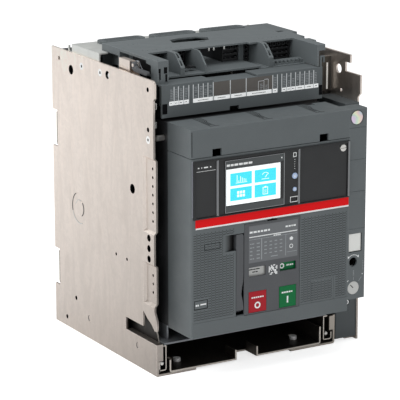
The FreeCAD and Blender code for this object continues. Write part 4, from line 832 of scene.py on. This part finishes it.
def state_flags():
    """Both faces of each flag: the one in the window and the one that drops into it."""
    face = front_of("contact_flag")
    y, top = proud(face, 0.12), (face - 0.2, face - 0.08)
    green, red, signs = shapes(3)
    green.block((-6.8, 18.8), y, SHOWN)
    red.block((-6.8, 18.8), y, HIDDEN)
    signs.ring(-0.4, 124.0, top, 3.2, 1.7, steps=28)
    dashes(signs, (6.0, 15.5), 123.2, top, 1.8, (1.6, 2.4), 0.6)
    signs.block((-1.2, 0.4), top, (133.2, 140.0))
    dashes(signs, (5.0, 15.5), 135.8, top, 1.8, (1.6, 2.4), 0.6)
    green.piece("contact_flag_open_face", "contact_flag", "green_button", "flag_faces")
    red.piece("contact_flag_closed_face", "contact_flag", "red_button", "red_button")
    signs.piece("contact_flag_signs", "contact_flag", "white_ink", PALE)
    face = front_of("spring_flag")
    y, top = proud(face, 0.12), (face - 0.2, face - 0.08)
    pale, charged, bars = shapes(3)
    pale.block((-47.8, -22.2), y, SHOWN)
    charged.block((-47.8, -22.2), y, HIDDEN)
    for z in (0.0, 12.8):
        dashes(bars, (-45.0, -27.6), 125.0 + z, top, 1.2, (3.2, 5.8), 0.5)
        dashes(bars, (-40.2, -31.0), 121.8 + z, top, 1.2, (2.6, 4.2), 0.5)
    pale.piece("spring_flag_discharged_face", "spring_flag", "light_grey_plastic", PALE)
    charged.piece("spring_flag_charged_face", "spring_flag", "yellow_ink", "flag_faces")
    bars.piece("spring_flag_signs", "spring_flag", "black_ink", DARK)


rating_label()
button_signs()
state_flags()


# -------- racking column

def column_marks():
    """Seal disc, crank arrows and the position dial's scale."""
    face = front_of("side_column")
    y = proud(face)
    seal, rim, marks, fine, slot = shapes(5)
    seal.disc(98.3, 287.5, (face - 0.5, face + 0.05), 8.0, 0.35)
    rim.ring(98.3, 287.5, (face - 0.35, face + 0.05), 8.7, 8.0, steps=48)
    marks.ring(96.2, 115.0, y, 9.1, 8.5, 48, 132, 18)
    marks.outline([(103.6, 119.6), (103.9, 123.0), (101.4, 121.4)], y)
    marks.outline([(88.8, 119.6), (91.0, 121.4), (88.5, 123.0)], y)
    fine.block((96.6, 97.1), y, (93.4, 97.0))
    for k in range(4):
        fine.block((96.0, 97.6), y, (98.8 + 1.7 * k, 99.6 + 1.7 * k))
    marks.outline([(87.9, 92.3), (88.4, 91.8), (90.0, 93.4), (89.5, 93.9)][::-1], y)
    fine.outline([(104.0, 91.3), (104.4, 90.9), (108.4, 95.5), (108.0, 95.9)], y)
    marks.block((108.6, 109.8), y, (98.4, 99.6))
    for k in range(6):
        fine.block((109.3, 110.0), y, (104.2 + 2.0 * k, 105.2 + 2.0 * k))
    fine.piece("column_fine_marks", "breaker", "pale_ink", PALE)
    shade, gap = Shape(), 0.9
    low, high = box_mm("position_release_button")
    below = low.z - gap
    shade.blocks((((high.x, high.x + gap), (below, high.z)), ((low.x, high.x), (below, low.z))), y)
    shade.piece("release_button_shadow_joint", "breaker", "black_ink", DARK)
    seal.piece("seal_disc", "breaker", "seal_pearl", PALE)
    rim.piece("seal_disc_rim", "breaker", "black_thermoset", DARK)
    marks.piece("column_marks", "breaker", "white_ink", PALE)
    dial = front_of("position_dial")
    slot.outline([(92.6, 87.1), (96.6, 83.1), (97.3, 83.8), (93.3, 87.8)], (dial - 0.06, dial + 0.1))
    slot.piece("dial_pointer_fill", "position_dial", "black_ink", DARK)


column_marks()


# -------- terminal box and latch

def plug_details():
    """Sockets and pins on the front of the plug blocks, wire entries and clips under the roof's edge."""
    shape, bright, clips = shapes(3)
    plugs = [(-107, -85, 84, 341), (-76, -52.5, 84, 341), (-2, 20, 84, 341), (27.5, 34.5, 84, 339),
             (43, 83.5, 72, 339)]
    for low, high, face, floor in plugs:
        count = max(1, int((high - low - 2) / 6.2))
        pitch = (high - low - 2) / count
        for k in range(count):
            x = low + 1 + pitch * (k + 0.5)
            shape.ring(x, 357.6, (face - 3.5, face + 0.1), 2.4, 1.6, steps=16)
            for row in range(3):
                z = floor + 2.5 + 5.2 * row
                bright.block((x - 0.7, x + 0.7), (face - 0.5, face + 0.2), (z, z + 0.8), 0.1)
    for x in (-67.0, -60.0, -57.6):
        shape.ring(x, 343.2, (54.0, 62.0), 2.6, 1.9, 0, 180, 12)
    for x in (-28.5, -22.0, -8.0):
        clips.block((x, x + 1.6), (70.2, 71.1), (357.6, 361.2), 0.2)
    shape.piece("plug_sockets", "cradle", "black_thermoset", "black_thermoset")
    bright.piece("plug_pins", "cradle", "shutter_plastic", "bright_steel")
    clips.piece("roof_edge_clips", "cradle", "light_grey_plastic", PALE)


def screw_socket_painted_shade():
    """Black squares at the bottoms of the square drives in the left plate's screws, painted as the shade
    inside them.
    """
    sockets = Shape(True)
    for y, z in ((176.9, 332.8), (130.7, 333.1), (17.4, 275.7)):
        sockets.block((y - 1.5, y + 1.5), (PLATE_FACE + 0.2, PLATE_FACE + 0.88), (z - 1.5, z + 1.5))
    sockets.piece("screw_socket_painted_shade", "cradle", "black_ink", "bright_steel")


def painted_hole_shade():
    """Black rings on the walls of the left plate's holes, painted as the shade inside them, and the end of
    the pin in one of them.
    """
    hole_shade_rings, pin = Shape(True), Shape(True)
    holes = [(y, z, 5.75, 0) for y, z in ((204, 324), (54.7, 211))] + [(112.6, 333.6, 4.75, 0)]
    holes += [(y, z, 2.75, 0) for y, z in ((17.4, 333.2), (17.2, 287.4), (199.4, 42.4), (224.3, 12))]
    holes += [(y, z, 2, 0) for y, z in ((95.8, 123.5), (69.5, 123.5))]
    holes += [(12.5, 243 - 10.2 * step, 1.75, 3) for step in range(7)]
    holes += [(17, 161.4 - 12.3 * step, 4.1, 0) for step in range(3)]
    holes += [(13, 117.9 - 10.1 * step, 1.75, 3) for step in range(3)]
    # Painted shade inside each hole.
    for y, z, radius, recess in holes:
        depth = (PLATE_FACE + recess + 0.15, PLATE_FACE + recess + 2.45)
        hole_shade_rings.ring(y, z, depth, radius - 0.01, radius - 0.12, steps=24)
    pin.disc(111.6, 332.6, (PLATE_FACE + 1.6, PLATE_FACE + 2.4), 3.2, 0.3, 24)
    hole_shade_rings.piece("plate_hole_painted_shade", "cradle", "black_ink", "black_steel")
    pin.piece("plate_pin_end", "cradle", "screw_zinc", "bright_steel")


def rear_tabs():
    """Bright bent tabs in the left plate's rear notches, which glow as painted light, with a black strip
    beside them painted as the shadow at each notch's edge.
    """
    tabs, shadow_strips = shapes(2)
    for z in ((50.6, 91.4), (225.6, 265.4)):
        # Painted shadow along the notch's edge.
        shadow_strips.block((PLATE_FACE + 0.3, PLATE_FACE + 2.3), (242.1, 243.9), z)
        tabs.block((PLATE_FACE + 1.6, PLATE_FACE + 2.4), (244.0, 253.4), z, 0.2)
    tabs.piece("rear_notch_tabs", "cradle", "warm_tab", "zinc_sheet", 0.2)
    shadow_strips.piece("rear_notch_painted_shadow", "cradle", "black_ink", "black_steel")


def roof_shadow_lines():
    """Painted shadow where the terminal box's roof meets the vent covers behind it, and a row of black
    strips painted as the shade inside small openings in the roof.
    """
    top = box_mm("terminal_box")[1].z
    slots = Shape()
    # Painted shadow along the roof's rear edge.
    slots.strip([(-71.8, 143.6), (-30.9, 139.4)], 2.4, top - 0.04, 0.03)
    slots.strip([(-1.7, 142.4), (38.9, 138.2)], 2.4, top - 0.04, 0.03)
    # Black strips painted as the shade inside small openings.
    for k in range(8):
        slots.strip([(-104.0 + 7.6 * k, 92.6), (-102.6 + 7.6 * k, 92.4)], 1.0, top - 0.04, 0.03)
    slots.piece("roof_joint_shadow", "cradle", "black_ink", DARK)


def right_end_sheet():
    """Zinc sheet over the label panel's right end, darkened as painted shade, with a narrow bright edge
    strip in front of it that glows as painted light.
    """
    sheet, strip = shapes(2)
    sheet.block((94.5, 136.0), (61.8, 68.2), (295.8, 337.2))
    strip.block((129.7, 131.8), (61.3, 61.8), (297.5, 329.5))
    sheet.piece("panel_end_sheet", "cradle", "zinc_inside", "zinc_sheet")
    strip.piece("right_edge_strip", "cradle", "warm_tab", "zinc_sheet", 0.2)


def gap_shade_patches():
    """Black patches painted as the shade in gaps at the terminal box's front left corner and in the label
    panel's slots, and a black inner wall painted as shade.
    """
    gaps = Shape()
    panel = front_of("label_panel")
    corner = 21.3
    gaps.blocks((((-115.8, -111.6), (348.4, 355.6)), ((-114.0, -111.6), (339.2, 347.6)),
                 ((-122.6, -120.0), (349.5, 354.5))), (corner - 0.15, corner + 0.05))
    gaps.block((-135.8, -122.6), (19.85, 20.05), (312.2, 336.8))
    for x in ((-123.4, -117.0), (86.4, 90.8)):
        gaps.block(x, proud(panel), (304.0, 315.6))
    gaps.piece("terminal_corner_painted_shade", "cradle", "black_ink", DARK)
    # Painted shade on the terminal box's inner wall.
    wall = Shape(True)
    wall.block((26.0, 100.0), (-112.2, -111.8), (341.0, 360.0))
    wall.piece("terminal_box_inner_shade", "cradle", "black_thermoset", "black_thermoset")


def emboss_lines():
    """Lit and shaded rims of the left plate's ring emboss and dimples."""
    depth = (PLATE_FACE + 0.02, PLATE_FACE + 0.35)
    lit, shaded = Shape(True), Shape(True)
    lit.ring(187, 158, depth, 19.4, 18.4, -110, -20, 28)
    shaded.ring(187, 158, depth, 19.3, 18.6, -20, 60, 28)
    lit.ring(187, 158, depth, 10.5, 9.7, 20, 110, 20)
    shaded.ring(187, 158, depth, 10.5, 9.8, 130, 240, 20)
    for y, z in ((165, 25.6), (45, 25.6)):
        shaded.ring(y, z, depth, 4.0, 3.4, -70, 70, 14)
    lit.piece("plate_emboss_lit_rim", "cradle", "light_grey_plastic", "zinc_sheet")
    shaded.piece("plate_emboss_shaded_rim", "cradle", "margin_grey", "zinc_sheet")


def small_rims():
    """A white ring painted as the highlight on the rim of the screw low on the racking housing, a black disc
    painted as the shade in its recess, and the dark rim of the trip reset window.
    """
    face = front_of("racking_housing")
    rim, core, frame_lines = shapes(3)
    # Painted highlight on the screw's rim, over painted shade in its recess.
    rim.ring(122.6, 48.4, proud(face, 0.5), 2.9, 1.6, steps=24)
    core.disc(122.6, 48.4, proud(face), 4.2)
    frame_lines.frame((-118.9, -101.1), (90.1, 100.9), (COVER - 0.07, COVER + 0.05), 0.6)
    rim.piece("housing_screw_painted_glint", "cradle", "white_ink", "bright_steel")
    core.piece("housing_screw_painted_shade", "cradle", "black_ink", "black_thermoset")
    frame_lines.piece("trip_reset_rim", "breaker", "black_ink", "grey_plastic")


def latch_spring():
    """Black wire spring wound round the latch pin, one leg on the lever and one on the bracket."""
    right = box_mm("latch_lever")[1].x
    axis_y, axis_z = 62.0, 353.0
    radius = 4.7
    curve = bpy.data.curves.new("latch_spring", "CURVE")
    curve.dimensions = "3D"
    curve.bevel_depth = 0.45 * MM
    curve.bevel_resolution = 3
    spline = curve.splines.new("NURBS")
    route = [(right + 0.4, 71.0, 347.0), (right + 0.5, 66.8, 350.6)]
    turns, steps = 2.5, 10
    for k in range(int(turns * steps) + 1):
        angle = math.radians(-20 + 360 * k / steps)
        route.append((right + 0.6 + 1.1 * k / steps, axis_y + radius * math.cos(angle),
                      axis_z + radius * math.sin(angle)))
    route += [(right + 3.4, 55.0, 350.5), (right + 3.2, 50.0, 348.0)]
    spline.points.add(len(route) - 1)
    for place, target in zip(spline.points, route):
        place.co = (*point(*target), 1.0)
    spline.order_u = 3
    spline.use_endpoint_u = True
    item = show("latch_spring_curve", curve)
    mesh = bpy.data.meshes.new_from_object(item)
    bpy.data.objects.remove(item)
    mesh.name = "latch_spring"
    mesh.materials.append(looks["black_steel"])
    spring = show("latch_spring", mesh)
    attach(spring, "cradle")


def edge_clips():
    """Two bent clips that show inboard of the left plate's front edge."""
    clips = Shape()
    for z, inner in ((311.5, -133.2), (290.0, -134.6)):
        clips.block((inner, -132.2), (9.0, 11.0), (z, z + 7.0))
        clips.block((-136.0, inner), (9.0, 10.0), (z + 6.2, z + 7.0))
        clips.block((-136.0, inner), (9.0, 10.0), (z, z + 0.8))
    clips.piece("plate_edge_clips", "cradle", "bright_steel", "bright_steel", 0.2)


plug_details()
latch_spring()
edge_clips()
screw_socket_painted_shade()
painted_hole_shade()
rear_tabs()
roof_shadow_lines()
right_end_sheet()
gap_shade_patches()
emboss_lines()
small_rims()


# -------- floor, light and camera

# Place, aim, side length and power of each softbox, in metres and watts.
LIGHTS = {
    "softbox_left": ((-1.9, -0.5, 1.5), (0, 0, 0.2), 1.6, 20),
    "softbox_top": ((-0.2, -0.2, 2.2), (0, 0, 0.25), 1.6, 21),
    "softbox_front": ((0.5, -2.4, 1.1), (0, 0, 0.2), 1.4, 7),
    "softbox_back": ((-0.7, 2.0, 1.5), (0, 0, 0.3), 1.4, 10),
}


def stage():
    """A pale floor and soft studio light."""
    mesh, reach = bpy.data.meshes.new("floor"), 6.0
    mesh.from_pydata([(-reach, -reach, 0), (reach, -reach, 0), (reach, reach, 0), (-reach, reach, 0)],
                     [], [(0, 1, 2, 3)])
    floor = show("floor", mesh)
    floor.location.z = cad_low.z - 0.0002
    n = Nodes("floor_paint")
    tone = n.varied(n.noise(n.coords, 3.0), (1.0, 1.0, 1.0, 1.0), 0.93, 0.96)
    n.link(tone, n.shader.inputs["Base Color"])
    n.shader.inputs["Roughness"].default_value = 0.9
    n.link(tone, n.shader.inputs["Emission Color"])
    seen = n.add("ShaderNodeLightPath").outputs["Is Camera Ray"]
    n.link(n.remap(seen, 0.0, 1.0, 0.2, 0.75), n.shader.inputs["Emission Strength"])
    mesh.materials.append(n.material)
    world = bpy.data.worlds.new("studio")
    world.use_nodes = True
    tree = world.node_tree
    light, white = tree.nodes["Background"], tree.nodes.new("ShaderNodeBackground")
    for node, colour, strength in ((light, (0.97, 0.985, 1.0, 1), 0.28), (white, (1, 1, 1, 1), 1.15)):
        node.inputs["Color"].default_value = colour
        node.inputs["Strength"].default_value = strength
    path = tree.nodes.new("ShaderNodeLightPath")
    blend = tree.nodes.new("ShaderNodeMixShader")
    for slot, source in enumerate((path.outputs["Is Camera Ray"], light.outputs[0], white.outputs[0])):
        tree.links.new(source, blend.inputs[slot])
    tree.links.new(blend.outputs[0], tree.nodes["World Output"].inputs["Surface"])
    bpy.context.scene.world = world
    for name, (place, aim, size, power) in LIGHTS.items():
        data = bpy.data.lights.new(name, "AREA")
        data.size = size
        data.energy = power
        lamp = show(name, data)
        lamp.location = place
        lamp.rotation_euler = (Vector(aim) - Vector(place)).to_track_quat("-Z", "Y").to_euler()
    bpy.context.scene.view_settings.view_transform = "Standard"


CAMERA_PLACE = (-1.33157, -2.24154, 0.84629)
CAMERA_LENS = 201.75
CAMERA_TURN = (-30.47, 14.64, -0.07)


def camera():
    """The view from 30.5 degrees left of the front and 14.6 degrees above."""
    azimuth, elevation, roll = (math.radians(angle) for angle in CAMERA_TURN)
    back = Vector((math.sin(azimuth) * math.cos(elevation), -math.cos(azimuth) * math.cos(elevation),
                   math.sin(elevation)))
    right = Vector((math.cos(azimuth), math.sin(azimuth), 0))
    up = back.cross(right)
    rolled_right = right * math.cos(roll) + up * math.sin(roll)
    rolled_up = up * math.cos(roll) - right * math.sin(roll)
    data = bpy.data.cameras.new("camera")
    data.lens = CAMERA_LENS
    item = show("camera", data)
    turn = Matrix((rolled_right, rolled_up, back)).transposed()
    item.matrix_world = Matrix.Translation(CAMERA_PLACE) @ turn.to_4x4()
    bpy.context.scene.camera = item


stage()
camera()
